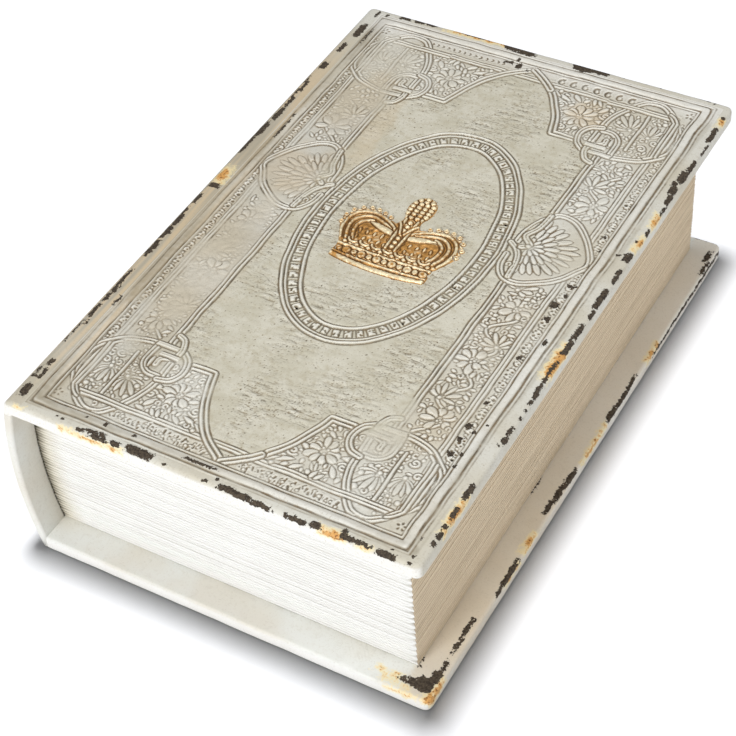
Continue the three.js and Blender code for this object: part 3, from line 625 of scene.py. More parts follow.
def shield(relief, side):
    """The almond shield at mid height: two straps that cross beside the oval, and a fan of feathers."""
    up = SHIELD_Y - PATTERN_Y
    at = quarter(side, 1)
    outer = curve([(41.8, 0), (42.6, 8), (45.4, 15.4), (50.6, 20.6), (57.6, 19.4), (64.6, 13.2), (70.2, 4.4),
                   (71.9, -1.2), (69.8, -5.6), (65.4, -12.4), (58.6, -17.8), (51.4, -20.9), (45.4, -19.8),
                   (41.6, -14.2), (40.8, -7.6)])
    ground = at(*(outer + (0, up)))
    x, y = np.meshgrid(relief.x, relief.y, indexing="ij")
    within = inside(ground, x, y)
    relief.height[within] = 0.08
    relief.used[within] = 0.0
    draw = np.random.default_rng(90)
    for count, start, stop, breadth in ((15, 0.5, 1.0, 2.5), (11, 0.26, 0.66, 2.1), (7, 0.1, 0.34, 1.7)):
        for angle in np.radians(np.linspace(-84, 82, count) + draw.uniform(-2.5, 2.5, count)):
            rib = heading(angle) * (17.6 + 3.2 * np.cos(angle) ** 4)
            root, tip = (rib * share + (46.6, up - 0.6) for share in (start, stop * draw.uniform(0.9, 1.0)))
            relief.petal(at(root), at(tip), breadth * draw.uniform(0.85, 1.1), vein=0.2, base=0.06)
    relief.strap(ground, 2.4)
    for strap in ([(39.6, -0.8), (43.4, -4.2), (46.2, -9.8), (47.4, -19.6)],
                  [(47.4, 19.6), (46.0, 10.2), (43.6, 4.6), (46.8, 0.6), (44.0, -2.4)]):
        relief.strap(at(*(curve(strap) + (0, up))), 2.2)
    relief.fill(at(*ellipse((45.2, up - 12), (3, 5.5), steps=16)), 1.7, 81)
    relief.fill(at(*ellipse((45.2, up + 12), (2.4, 5), steps=16)), 1.7, 82)
    relief.dome(at((46.6, up - 0.4)), 1.0, 0.42)


def oval(relief):
    """The oval: a ring of square beads between double lines."""
    def ring(inset):
        return ellipse((PATTERN_X, OVAL_Y), (OVAL_HALF_X - inset, OVAL_HALF_Y - inset), steps=240)
    window, far = relief.distance(ring(OVAL_BAND / 2), 5)
    relief.work(window, -0.22, ease((4.2 - far) / 0.5))
    relief.stain[window] = ease((4.6 - far) / 0.8) * 0.4
    relief.line(ring(-0.3), 0.62, 0.5, groove=0.42)
    relief.line(ring(1.35), 0.42, 0.3, groove=0.3, base=-0.1)
    relief.line(ring(OVAL_BAND - 0.3), 0.62, 0.5, groove=0.42)
    # studs with pits in them, on a line a little inside the band's middle
    fine = ring(OVAL_BAND / 2 + 0.5)
    lengths = np.concatenate([[0], np.cumsum(np.hypot(*np.diff(fine, axis=0).T))])
    draw = np.random.default_rng(17)
    for travel in np.linspace(0, lengths[-1], BEAD_COUNT, endpoint=False):
        x, y = (np.interp(travel, lengths, fine[:, k]) for k in (0, 1))
        ahead = [np.interp((travel + 0.4) % lengths[-1], lengths, fine[:, k]) for k in (0, 1)]
        tangent = np.array([ahead[0] - x, ahead[1] - y])
        tangent /= np.hypot(*tangent)
        window = relief.window((x, y), 3.4)
        px, py = relief.x[window[0], None] - x, relief.y[None, window[1]] - y
        u = np.abs(px * tangent[0] + py * tangent[1] + draw.uniform(-0.15, 0.15))
        v = np.abs(py * tangent[0] - px * tangent[1])
        out = np.maximum(u - 1.45 * draw.uniform(0.85, 1.05), v - 1.75)
        stud = 0.42 * ease(-out / 0.4) - 0.34 * hump(out - 0.2, 0.42)
        for du, dv in draw.uniform(-1.2, 1.2, (3, 2)):
            pit = np.hypot(px * tangent[0] + py * tangent[1] - du, py * tangent[0] - px * tangent[1] - dv)
            stud -= 0.55 * hump(pit, draw.uniform(0.5, 0.8)) * (out < 0.2)
        relief.work(window, -0.2 + stud, ease((0.45 - out) / 0.25))


# Places where the embossing is rubbed nearly flat: middle, reach along X and Y, and how far
RUBBED = [(8.6, 130, 4, 115, 0.3), (17.6, 112, 2.6, 90, 0.5), (28, 97, 8.4, 42, 0.9), (30, 205, 10, 20, 0.6),
          (26, 236, 13, 15, 0.5), (30, 158, 12, 16, 0.5), (131, 45, 7.5, 10, 0.74), (131, 60, 4, 8, 0.6),
          (24, 46, 5, 7, 0.6), (146, 96, 4, 6, 0.3), (148, 150, 9, 10, 0.35)]
# Places where the leather has browned: middle, reach along X and Y, and how far
BROWNED = [(26, 158, 14, 16, 0.5), (118, 240, 9, 9, 0.55), (27, 95, 14, 50, 0.22), (28, 205, 13, 25, 0.25),
           (44, 190, 6, 26, 0.35), (140, 120, 10, 30, 0.15), (145, 58, 8, 14, 0.2)]


def cover_relief():
    """All the embossing on the front cover, in the order it is laid down."""
    nx = round((COVER_WIDTH - RIM - JOINT_WIDTH) / FACE_STEP)
    ny = round((COVER_LENGTH - 2 * RIM) / FACE_STEP)
    relief = Relief(np.linspace(JOINT_WIDTH, COVER_WIDTH - RIM, nx + 1),
                    np.linspace(RIM, COVER_LENGTH - RIM, ny + 1))
    frame_borders(relief)
    bead_bands(relief)
    for side, seed in ((-1, 11), (1, 12)):
        scroll_panel(relief, side, 52, 137, seed)
        scroll_panel(relief, side, 179, 217, seed + 4)
        for end in (-1, 1):
            spandrel(relief, side, end)
    oval(relief)
    field_outline(relief)
    for side in (-1, 1):
        shield(relief, side)
        for end in (-1, 1):
            cartouche(relief, side, end)
    frame_rolls(relief)
    return relief


# Wear

# Patches where the leather has come away, by place on the cover: low and high X, low and high Y
TORN_FRONT = [
    # along the tail
    (20.6, 21.6, 2.6, 3.4), (23, 24, 2.6, 3.4), (31, 35, 1.0, 2.2), (34, 38.6, 1.8, 3.0),
    (38, 42.5, 2.1, 3.5), (36, 45, 0.2, 1.7), (46, 50, 0.3, 2.5), (52, 63, 0.2, 3.5),
    (68.4, 69.6, 0.6, 1.6), (73.5, 87, 6.5, 7.3), (30.9, 31.9, 6.9, 7.8), (39.2, 40.2, 6.9, 7.9),
    (51.5, 52.6, 6.9, 7.9), (84.5, 87, 0.8, 1.7), (88.5, 89.5, 3, 4), (91, 97, 0.2, 2.8),
    (96, 104, -0.5, 2.2), (104, 113, -1, 1.4), (118, 126, -1, 1.4), (128, 132, -0.5, 2.3),
    (139.4, 141.6, 0.3, 4.1), (141, 149.5, 0.6, 2.1), (150.5, 152, 0.8, 1.6), (153.5, 160, -0.6, 1.9),
    (157.6, 158.5, 3, 4), (165, 166, 3.8, 4.6), (163.8, 164.6, 11.6, 12.4), (165, 166, 0.6, 1.4),
    # along the head
    (15, 20, 267, 269.4), (22, 26.7, 267.5, 269.4), (27.5, 33, 267.7, 269.4), (45, 58, 268.6, 269.6),
    (66, 73, 266.6, 270.5), (72, 81, 266, 269.2), (75.4, 76.6, 261.4, 262.6), (71, 74, 258, 259.5),
    (76.5, 79, 256, 259.4), (82, 83, 255.8, 256.8), (99, 107, 265.6, 270.6), (106, 115, 266.8, 270.6),
    (120.8, 121.8, 268.9, 269.9), (131.5, 132.5, 269.1, 270.1), (137.5, 138.5, 269, 270),
    (155, 160, 268.8, 270.5), (161.5, 162.5, 267.9, 268.9), (4, 5, 264, 268), (8.3, 9.3, 266.5, 267.5),
    (8.2, 9, 265.6, 266.4),
    # along the spine
    (2, 5, 247, 257), (8.1, 8.9, 244, 255), (1.5, 3.6, 235, 241), (0.4, 3.5, 221, 226), (-0.2, 1, 210, 215),
    (0.9, 2.3, 204, 211), (0, 1.2, 198, 205), (1, 2.4, 192, 199), (0.4, 2.8, 182, 191),
    (8.1, 8.9, 187.4, 188.6), (8.1, 8.9, 172, 184), (-0.6, 2.2, 170, 180), (-0.8, 1.2, 158, 170),
    (0.2, 5, 134.4, 137), (-0.6, 1.5, 123, 129), (-0.8, 1, 115, 120), (-0.6, 2.2, 108, 115),
    (-0.6, 2, 100, 108), (1.8, 2.8, 103, 104), (-0.6, 2.2, 90, 98), (0.2, 1.6, 88, 90), (0.2, 1.7, 70, 80),
    (0.4, 2.6, 65, 70), (0.4, 2.1, 60, 65), (0.2, 2.1, 50, 58), (5.6, 6.4, 60, 65), (0.1, 0.9, 41, 48),
    (2, 3, 46.5, 47.5), (0, 0.8, 36, 40), (2, 3.6, 23, 26), (0.4, 1.4, 16, 22), (3, 4.1, 16, 21),
    (1.4, 3.4, 15.6, 16.6), (1.4, 4.4, 6, 12),
    # along the fore-edge
    (168.1, 169.3, 260, 261.6), (168, 170, 244, 253.6), (169.4, 170.6, 236, 244), (168.4, 170.3, 224, 231),
    (167, 170.3, 216, 224), (166, 168.6, 213.2, 216), (166.8, 170, 208, 213.4), (168, 170.2, 202, 208),
    (169.3, 170.5, 195, 201), (169.1, 170.3, 182, 186), (167, 170, 165, 169.6),
    (164.6, 165.5, 166.6, 167.5), (167.3, 168.3, 176.5, 177.5), (168, 169.6, 156, 160),
    (168.6, 170, 152.5, 157), (167.8, 170.3, 137, 148.6), (168.8, 170.2, 131.5, 136),
    (168, 170, 118, 127.5), (168, 170.4, 110, 118.4), (168, 169.2, 88, 106), (168, 170, 86, 90),
    (168.3, 169.7, 82.3, 84.7), (168.8, 169.8, 79, 80), (168.8, 169.8, 74.4, 75.6),
    (168.3, 169.7, 65.5, 70), (168, 170.2, 61.4, 64.6), (167.4, 168.4, 60, 61), (160.2, 161.2, 66, 67),
    (157.5, 158.5, 61.5, 62.5), (160.3, 161.4, 110.5, 113.5), (158.5, 159.5, 50.5, 51.5),
    (158.7, 159.7, 44.5, 45.6), (168, 170, 33, 40.6), (168, 169.7, 24, 29), (168, 169.7, 19, 21.6),
    (168.2, 169.7, 14, 18), (168, 169.6, 10.4, 12.6),
    # punches of the fore-edge band whose bottoms are bare
    (153.6, 156.6, 130.4, 133.4), (154.2, 156.8, 123, 125.2), (153.8, 156.2, 62.8, 65.2),
    (154, 156, 56, 58), (153.8, 156.2, 48.4, 50.6), (155, 156, 173.5, 174.5), (157.2, 158.2, 166, 167),
    (154.6, 158, 143, 144.2), (156.2, 157.4, 137.4, 138.6), (155, 156.6, 101, 102.6),
    (154.6, 156, 76, 77.6),
]
# Patches stained with rust
RUSTY_FRONT = [
    (24, 50, -2.4, -0.3), (132, 141, -1.6, 2.2), (4, 7, 0.2, 0.8), (0, 5, 138, 148), (167.6, 171, 187, 195),
    (168, 171, 172, 181), (166.2, 171, 96, 115), (168, 171.5, 18, 35), (168, 171, 255.5, 260.5),
    (38, 66, 267.4, 270.6), (147, 151, -0.5, 1),
]
# Both kinds again, on the back cover
TORN_BACK = [
    (154.6, 160, 4.6, 6.6), (158, 164.4, 4.0, 7.4), (161.4, 168, 3.6, 9.4), (165, 168.6, 8.0, 13.6),
    (166.6, 168.2, 12.6, 20), (166.4, 168.0, 23, 31), (166.0, 167.7, 29, 40.4), (168.8, 170.2, 54, 59),
    (168.4, 170.6, 58, 73), (167.0, 168.9, 97, 105), (167.2, 169.6, 104, 116), (168.2, 170.2, 114, 123),
    (159.1, 159.8, 103, 113.5), (168.2, 170.4, 152, 161), (168.8, 170.6, 159, 173),
    (168.4, 169.8, 172, 181), (170.6, 172.2, 196, 216), (170.4, 172.4, 214, 236), (170.6, 172.6, 234, 269),
    (150, 170.4, 269.4, 271), (166.4, 168.6, 256, 264), (168.2, 169.6, 248, 257),
    (159.2, 160.2, 12.6, 17.4), (60, 74, 269.2, 271.5), (112, 121, 269, 271), (-2, 0.8, 30, 42),
    (-2, 0.6, 120, 139), (-2, 0.6, 205, 214),
]
RUSTY_BACK = [
    (166.6, 173, -1.0, 5), (168.4, 172.6, 3.4, 12), (146, 156, 4.4, 6.4), (150, 160, 2.6, 3.6),
    (152, 164, -1.2, 0.2), (168.8, 171.6, 128, 150), (167.8, 170.6, 77, 87), (168.4, 171.6, 190, 202),
    (169.4, 172, 60, 72), (40, 58, 268.4, 271),
]
# How far into or away from a patch its depth is counted
FLAKE = 2.5


def inside_patches(points, patches, level):
    """How deep each point lies inside its nearest patch, in millimetres, from FLAKE down to -FLAKE: a patch
    is a squarish oval, deepest along its middle. A point on a side face counts as if that face were folded
    out flat beside the cover's face, which is at a level."""
    x, y, z = np.moveaxis(np.asarray(points, float), -1, 0)
    drop = np.clip(np.abs(level - z) - 0.5, 0, 7)
    nearest = np.stack([x, COVER_WIDTH - x, y, COVER_LENGTH - y]).argmin(0)
    x = x + drop * np.array([-1, 1, 0, 0])[nearest]
    y = y + drop * np.array([0, 0, -1, 1])[nearest]
    depth = np.full(x.shape, -FLAKE)
    for x0, x1, y0, y1 in patches:
        near = (x > x0 - FLAKE) & (x < x1 + FLAKE) & (y > y0 - FLAKE) & (y < y1 + FLAKE)
        px, py = x[near], y[near]
        across, along = ((2 * px - x0 - x1) / (x1 - x0)) ** 2, ((2 * py - y0 - y1) / (y1 - y0)) ** 2
        oval_depth = (1 - np.sqrt(np.hypot(across, along))) * min(x1 - x0, y1 - y0) / 2 + 0.15
        box_depth = np.minimum(np.minimum(px - x0, x1 - px), np.minimum(py - y0, y1 - py)) * 0.8 + 0.3
        depth[near] = np.maximum(depth[near], np.minimum(oval_depth, box_depth))
    return np.clip(depth, -FLAKE, FLAKE)


def wear(points, front=True):
    """How deep each point lies in a torn patch and in a rusty one, from 0, far from any, to 2."""
    torn, rusty, level = (TORN_FRONT, RUSTY_FRONT, BOX_HEIGHT) if front else (TORN_BACK, RUSTY_BACK, COVER)
    return {"torn": 1 + inside_patches(points, torn, level) / FLAKE,
            "rusty": 1 + inside_patches(points, rusty, level) / FLAKE}


# Finishes

def srgb(red, green, blue):
    """A colour as it is seen, 0 to 255, as the scene's linear one."""
    seen = np.array([red, green, blue]) / 255
    linear = np.where(seen <= 0.04045, seen / 12.92, ((seen + 0.055) / 1.055) ** 2.4)
    return (*linear, 1.0)


class Finish:
    """A material built up node by node."""

    def __init__(self, name):
        self.material = bpy.data.materials.new(name)
        self.material.use_nodes = True
        self.tree = self.material.node_tree
        self.shader = self.tree.nodes["Principled BSDF"]
        self.where = self.node("TexCoord").outputs["Object"]

    def node(self, kind, settings=None, inputs=None):
        """A shader node with its settings and inputs."""
        made = self.tree.nodes.new("ShaderNode" + kind)
        for key, value in (settings or {}).items():
            setattr(made, key, value)
        for key, value in (inputs or {}).items():
            self.put(made.inputs[key], value)
        return made

    def put(self, socket, value):
        """Gives a socket a value, or a link where the value is another socket."""
        if isinstance(value, bpy.types.NodeSocket):
            self.tree.links.new(value, socket)
        else:
            socket.default_value = value

    def attribute(self, name):
        """A value kept at the mesh's points."""
        return self.node("Attribute", {"attribute_name": name}).outputs["Fac"]

    def noise(self, size, detail=3.0, roughness=0.55, stretch=None, seed=0.0):
        """Noise from 0 to 1 with features of a size in millimetres."""
        where = self.where
        if stretch:
            where = self.node("Mapping", inputs={"Vector": where, "Scale": stretch}).outputs[0]
        if seed:
            where = self.node("Mapping", inputs={"Vector": where, "Location": (seed, -seed, seed)}).outputs[0]
        return self.node("TexNoise", inputs={"Vector": where, "Scale": 1 / (size * MM), "Detail": detail,
                                             "Roughness": roughness}).outputs["Fac"]

    def math(self, operation, *values, clamp=False):
        """The result of one operation on sockets or numbers."""
        made = self.node("Math", {"operation": operation, "use_clamp": clamp})
        for socket, value in zip(made.inputs, values):
            self.put(socket, value)
        return made.outputs[0]

    def ramp(self, value, low, high, out_low=0.0, out_high=1.0):
        """A smooth step of a value between two limits."""
        made = self.node("MapRange", {"interpolation_type": "SMOOTHSTEP"},
                         {"Value": value, "From Min": low, "From Max": high,
                          "To Min": out_low, "To Max": out_high})
        return made.outputs[0]

    def mix(self, share, first, second):
        """The first colour turned by a share towards the second."""
        made = self.node("Mix", {"data_type": "RGBA"})
        for key, value in ((0, share), (6, first), (7, second)):
            self.put(made.inputs[key], value)
        return made.outputs[2]

    def bump(self, height, distance, strength=1.0, under=None):
        """Normals bumped by a height, whose full reach is a distance in millimetres."""
        inputs = {"Height": height, "Distance": distance * MM, "Strength": strength}
        if under is not None:
            inputs["Normal"] = under
        return self.node("Bump", inputs=inputs).outputs[0]

    def ragged(self, name, broad, fine, seed):
        """A patch's depth in millimetres with its edge frayed by a broad noise and a fine one."""
        depth = self.math("MULTIPLY_ADD", self.attribute(name), FLAKE, -FLAKE)
        for (size, reach), detail in ((broad, 2.0), (fine, 4.0)):
            noise = self.math("SUBTRACT", self.noise(size, detail, 0.65, seed=seed + size), 0.5)
            depth = self.math("MULTIPLY_ADD", noise, reach, depth)
        return depth

    def shade(self, **inputs):
        """The finished material, given the shader's inputs by name."""
        for key, value in inputs.items():
            self.put(self.shader.inputs[key.replace("_", " ")], value)
        return self.material


def leather_finish(title="antiqued_leather", pale=(217, 215, 205), warm=(206, 200, 183), stain=1.0):
    """Cream leather with wax left in its hollows and a painted highlight on its crests, torn to dark board
    and stained with rust at its edges.
    """
    f = Finish(title)
    broad = f.noise(38, 3, 0.5)
    patch = f.noise(9, 4, 0.6, seed=0.2)
    mottle = f.noise(2.6, 4, 0.65, seed=0.6)
    fine = f.noise(0.9, 3, 0.6)
    tone = f.mix(f.ramp(broad, 0.36, 0.64), srgb(*pale), srgb(*warm))
    tone = f.mix(f.ramp(mottle, 0.52, 0.68, 0.0, 0.4 * stain), tone, srgb(196, 190, 176))
    plain = f.mix(f.ramp(patch, 0.36, 0.64), srgb(202, 197, 178), srgb(214, 210, 194))
    plain = f.mix(f.ramp(mottle, 0.5, 0.66, 0.0, 0.55), plain, srgb(187, 179, 156))
    tone = f.mix(f.attribute("field"), tone, plain)
    # the last of these tones is partly painted light, on the sides that face the tail and on the fore-edge's
    # ledge; the first is partly painted shade on that ledge
    for name, most, colour in (("tan", 0.8, (216, 192, 154)), ("grime", 0.65, (150, 141, 120)),
                               ("bleach", 0.75, (248, 247, 243))):
        tone = f.mix(f.math("MULTIPLY", f.attribute(name), most), tone, srgb(*colour))
    tone = f.mix(f.ramp(fine, 0.54, 0.7, 0.0, 0.4 * stain), tone, srgb(178, 167, 146))
    clusters = f.ramp(patch, 0.42, 0.6, 0.1 * stain, 0.7 * stain)
    dots = f.ramp(f.noise(0.42, 2, 0.5, seed=0.9), 0.64, 0.72)
    tone = f.mix(f.math("MULTIPLY", dots, clusters), tone, srgb(154, 142, 120))
    # crest is a painted highlight on the relief's raised parts
    tone = f.mix(f.math("MULTIPLY", f.attribute("crest"), 0.6), tone, srgb(240, 238, 230))
    waxed = f.math("MULTIPLY", f.attribute("wax"), f.ramp(patch, 0.3, 0.7, 0.75, 1.0), clamp=True)
    tone = f.mix(waxed, tone, f.mix(f.ramp(mottle, 0.4, 0.6), srgb(98, 87, 69), srgb(118, 99, 72)))
    rust = f.ragged("rusty", (3.4, 4.6), (0.9, 3.0), 0.5)
    tone = f.mix(f.ramp(rust, -1.3, 0.6, 0.0, 0.85), tone, srgb(246, 229, 178))
    tone = f.mix(f.ramp(rust, 0.0, 1.4, 0.0, 0.95), tone, srgb(217, 160, 86))
    tone = f.mix(f.math("MULTIPLY", f.ramp(rust, 0.4, 1.4), f.ramp(fine, 0.5, 0.62)), tone, srgb(146, 96, 50))
    torn = f.ragged("torn", (1.9, 2.6), (0.6, 1.7), 1.1)
    bare = f.ramp(torn, -0.02, 0.1)
    tone = f.mix(bare, tone, f.mix(f.ramp(fine, 0.35, 0.65), srgb(54, 46, 38), srgb(88, 77, 63)))
    grain = f.bump(f.noise(0.55, 3, 0.6), 0.05, 0.7)
    depth = f.bump(f.math("SUBTRACT", 1.0, bare), 0.3, 1.0, under=grain)
    rough = f.ramp(fine, 0.3, 0.7, 0.5, 0.68)
    return f.shade(Base_Color=tone, Roughness=f.mix(bare, rough, (0.85, 0.85, 0.85, 1)), Normal=depth,
                   Specular_IOR_Level=0.35)


def plain_finish(name, colour, second, size, bump, stretch=None):
    """A finish with two tones of one colour and a fine tooth."""
    f = Finish(name)
    tone = f.mix(f.ramp(f.noise(size, 4, 0.6, stretch=stretch), 0.35, 0.65), srgb(*colour), srgb(*second))
    tooth = f.noise(0.5, 3, 0.6, stretch=stretch)
    tone = f.mix(f.ramp(tooth, 0.4, 0.8, 0.0, 0.35), tone, f.mix(0.3, srgb(*second), (0.1, 0.08, 0.06, 1)))
    return f.shade(Base_Color=tone, Roughness=0.8, Normal=f.bump(tooth, bump, 0.7))


def page_finish(name, crest, groove, dusk):
    """The cut edges of leaves: fine lines along them, with painted shade in the grooves, beside the spine, in
    the gaps at the spine's end and along the foot.
    """
    f = Finish(name)
    lines = f.noise(0.42, 3, 0.7, stretch=(0.012, 0.012, 1.0))
    wide = f.noise(14, 3, 0.55, stretch=(0.3, 0.3, 1.0), seed=0.3)
    depth = f.math("MULTIPLY", f.attribute("sunk"), f.ramp(wide, 0.3, 0.7, 0.5, 1.0))
    tone = f.mix(depth, srgb(*crest), srgb(*groove))
    tone = f.mix(f.ramp(lines, 0.48, 0.7, 0.0, 0.42), tone, srgb(*groove))
    tone = f.mix(f.attribute("dusk"), tone, srgb(*dusk))
    tone = f.mix(f.attribute("mark"), tone, srgb(92, 84, 68))
    return f.shade(Base_Color=tone, Roughness=0.9, Normal=f.bump(lines, 0.08, 0.6), Specular_IOR_Level=0.2)


# A wave pattern of this scale repeats once a unit
ONE_WAVE = 0.314
THREAD_PITCH = 0.55


def cloth_finish(name, thread, shadow):
    """A close plain weave of wave patterns along the three axes, with slubs and a soft sheen."""
    f = Finish(name)
    weave = 0.0
    for axis in "XYZ":
        wave = f.node("TexWave", {"wave_type": "BANDS", "bands_direction": axis},
                      {"Vector": f.where, "Scale": ONE_WAVE / (THREAD_PITCH * MM)})
        weave = f.math("ADD", weave, wave.outputs["Fac"])
    slubs = f.noise(2.2, 4, 0.6, stretch=(1, 0.25, 1))
    tone = f.mix(f.ramp(weave, 0.0, 2.2), srgb(*shadow), srgb(*thread))
    tone = f.mix(f.ramp(slubs, 0.5, 0.75, 0.0, 0.15), tone, srgb(*shadow))
    return f.shade(Base_Color=tone, Roughness=0.95, Normal=f.bump(weave, 0.06, 0.8), Specular_IOR_Level=0.15,
                   Sheen_Weight=0.25)


def gold_finish():
    """Stamped gold foil: ochre in its hollows, with a painted highlight on its crests, and brown where it has
    rubbed off.
    """
    f = Finish("stamped_gold")
    grains = f.noise(0.7, 4, 0.7)
    patch = f.noise(5, 3, 0.6, seed=0.4)
    tone = f.mix(f.ramp(patch, 0.35, 0.7), srgb(208, 154, 80), srgb(188, 136, 68))
    # pale is a painted highlight
    tone = f.mix(f.attribute("pale"), tone, srgb(248, 232, 194))
    tone = f.mix(f.ramp(grains, 0.52, 0.7, 0.0, 0.45), tone, srgb(132, 92, 42))
    worn = f.math("MULTIPLY", f.attribute("wax"), f.ramp(grains, 0.2, 0.6, 0.7, 1.0), clamp=True)
    tone = f.mix(worn, tone, srgb(104, 72, 34))
    return f.shade(Base_Color=tone, Roughness=f.ramp(grains, 0.3, 0.7, 0.34, 0.55), Metallic=0.35,
                   Normal=f.bump(grains, 0.09, 0.6))


def dress(node, finish):
    """Gives a carried-over node a finish."""
    target = bpy.data.objects[node]
    if not target.material_slots:
        target.data.materials.append(finish)
    for slot in target.material_slots:
        slot.material = finish


leather = leather_finish()
# a paler copy of the cover's leather: its paleness is painted light on the box's ledges and spine
back_leather_painted_paler = leather_finish("antiqued_leather_of_the_box", (235, 236, 231), (228, 224, 213), stain=0.4)
# one paper in two tones: painted light makes the tail's leaves whiter, and painted shade makes the
# fore-edge's darker and warmer
lit_white_pages = page_finish("tail_leaves", (239, 239, 236), (205, 202, 195), (205, 197, 174))
shaded_fore_edge_pages = page_finish("fore_edge_leaves", (224, 207, 180), (168, 149, 120), (190, 174, 144))
cloth = cloth_finish("lining_cloth", (172, 150, 118), (118, 98, 72))
card = plain_finish("greyboard", (142, 131, 114), (126, 115, 98), 3, 0.15)
timber = plain_finish("tray_wood", (192, 162, 120), (170, 138, 98), 5, 0.08, (0.2, 0.2, 3))
rim_sheet = plain_finish("rim_paper", (232, 226, 210), (222, 214, 196), 12, 0.05)


# Front cover

def wavering(values, step, reach):
    """Values read from places that wander a little, so that ruled lines look pressed by hand."""
    i, j = np.meshgrid(*(np.arange(n, dtype=float) for n in values.shape), indexing="ij")
    i = np.clip(i + clouds(values.shape, step, 11, 91) * reach / 2 / step[0], 0, values.shape[0] - 1.001)
    j = np.clip(j + clouds(values.shape, step, 11, 92) * reach / 2 / step[1], 0, values.shape[1] - 1.001)
    row, column = i.astype(int), j.astype(int)
    down, along = i - row, j - column
    near = values[row, column] * (1 - along) + values[row, column + 1] * along
    far = values[row + 1, column] * (1 - along) + values[row + 1, column + 1] * along
    return near * (1 - down) + far * down


def soft_ovals(relief, places, half, edge, wander=0.0):
    """The strongest at each point of ovals given by middle, reach along X and Y, and strength."""
    found = np.zeros(relief.height.shape)
    for middle_x, middle_y, reach_x, reach_y, strength in places:
        far = np.hypot((relief.x[:, None] - middle_x) / reach_x, (relief.y - middle_y) / reach_y) + wander
        np.maximum(found, strength * ease((half - far) / edge), out=found)
    return found


def rub_down(relief):
    """Makes the ruled lines waver, rubs the worn places nearly flat, and gives how far each is rubbed."""
    shape, step = relief.height.shape, relief.step
    relief.height = wavering(blurred(relief.height, step, 0.15), step, 0.26)
    relief.height *= np.clip(1 + clouds(shape, step, 7, 2) * 0.16, 0.5, 1.3)
    rubbed = soft_ovals(relief, RUBBED, 1.25, 0.5)
    rubbed *= np.clip(0.85 + clouds(shape, step, 9, 4) * 0.2, 0.4, 1)
    relief.height += (blurred(relief.height, step, 1.1) * 0.8 - relief.height) * rubbed
    relief.height += clouds(shape, step, (2.2, 3.2), 24) * 0.05 * rubbed
    return rubbed


def crease(relief):
    """Creases and pits the leather, most on the plain field. Gives how deep the creases and the pits are."""
    shape, step = relief.height.shape, relief.step
    relief.field = field_mask(relief)
    plain = relief.field * (1 - np.clip(relief.used * 1.5, 0, 1))
    patch = ease(clouds(shape, step, 20, 5) * 0.55 + 0.5)
    long_cracks, short_cracks = (ease(1 - np.abs(clouds(shape, step, size, seed)) / 0.4)
                                 for size, seed in (((6, 1.5), 6), ((2.2, 1.4), 7)))
    crinkle = (long_cracks * 0.6 + short_cracks * 0.5) * (0.12 + plain * patch * 0.9)
    relief.height -= crinkle * 0.12
    relief.height += clouds(shape, step, (5, 1.8), 16) * 0.06 * (0.2 + plain * patch)
    pits = ease((clouds(shape, step, 0.75, 8) + 0.5 * patch - 1.9) / 0.8) * (0.25 + 0.75 * plain)
    relief.height -= pits * 0.1
    relief.height += clouds(shape, step, 2.4, 3) * 0.014
    return crinkle, pits


def find_wax_and_painted_highlight(relief, rubbed, crinkle, pits, fade):
    """Where wax stays, below the average height of a small patch, and where a painted highlight goes, above
    it.
    """
    shape, step = relief.height.shape, relief.step
    sunk = blurred(relief.height, step, 0.8) - relief.height
    fine_sunk = blurred(relief.height, step, 0.36) - relief.height
    held = np.clip(1.08 + clouds(shape, step, 22, 9) * 0.17, 0.6, 1.4) * (1 - 0.9 * rubbed)
    held = held * (1 + 0.16 * ease((relief.x[:, None] - 60) / 50))
    relief.wax = (sunk / 0.24 * 0.8 + fine_sunk / 0.12 * 0.6 - 0.08) * held * (1 + relief.stain)
    # crinkle's share of the wax is painted shade in the creases
    relief.wax = np.clip(relief.wax + relief.stain + pits * 0.5 + crinkle * 0.3, 0, 1)
    relief.wax *= fade
    # crest: a painted highlight along the crests
    relief.crest = np.clip(-sunk / 0.22 - fine_sunk / 0.3 - 0.3, 0, 1) * fade * (1 - rubbed)


def stain_leather(relief, fade):
    """Tan and grey streaks along the spine's margin, grey ones along the others, browned places, and paler
    leather at the head and on the broad moulding."""
    shape, step = relief.height.shape, relief.step
    x, y = relief.x[:, None], relief.y[None, :]
    margin = ease((20 - x) / 13)
    streaks = ease(clouds(shape, step, (2.2, 60), 13) * 0.4 + 0.45)
    relief.tan = (0.3 + 0.7 * streaks) * margin * ease((y + 30) / 90) * ease((240 - y) / 60)
    browned = soft_ovals(relief, BROWNED, 1.3, 0.8, clouds(shape, step, 8, 19) * 0.12)
    relief.tan = np.maximum(relief.tan, browned) * fade
    across = ease(clouds(shape, step, (60, 2.0), 14) * 0.4 + 0.65) * ease((12 - y) / 6) * 0.85
    beside = ease(clouds(shape, step, (2.0, 60), 15) * 0.4 + 0.4)
    beside = beside * np.maximum(ease((x - 157) / 6) * 0.62, margin * 1.1)
    broad = (0.3 + clouds(shape, step, 24, 20) * 0.08) * ease((46 - x) / 12) * ease((240 - y) / 40)
    broad += (0.2 * ease((120 - y) / 30) + 0.3 * ease((60 - y) / 20)) * ease((10 - x) / 4) * ease((y - 8) / 8)
    relief.grime = np.clip(np.maximum(across, beside) + broad, 0, 1) * fade
    left, low, right, high = MOULDING
    roll = np.abs(np.maximum(np.abs(x - (left + right) / 2) - (right - left) / 2,
                             np.abs(y - (low + high) / 2) - (high - low) / 2))
    polished = ease((1.7 - roll) / 0.9) * ease((x - 30) / 60) * 0.35
    relief.bleach = np.maximum(ease((y - 252) / 8) * 0.6, polished)


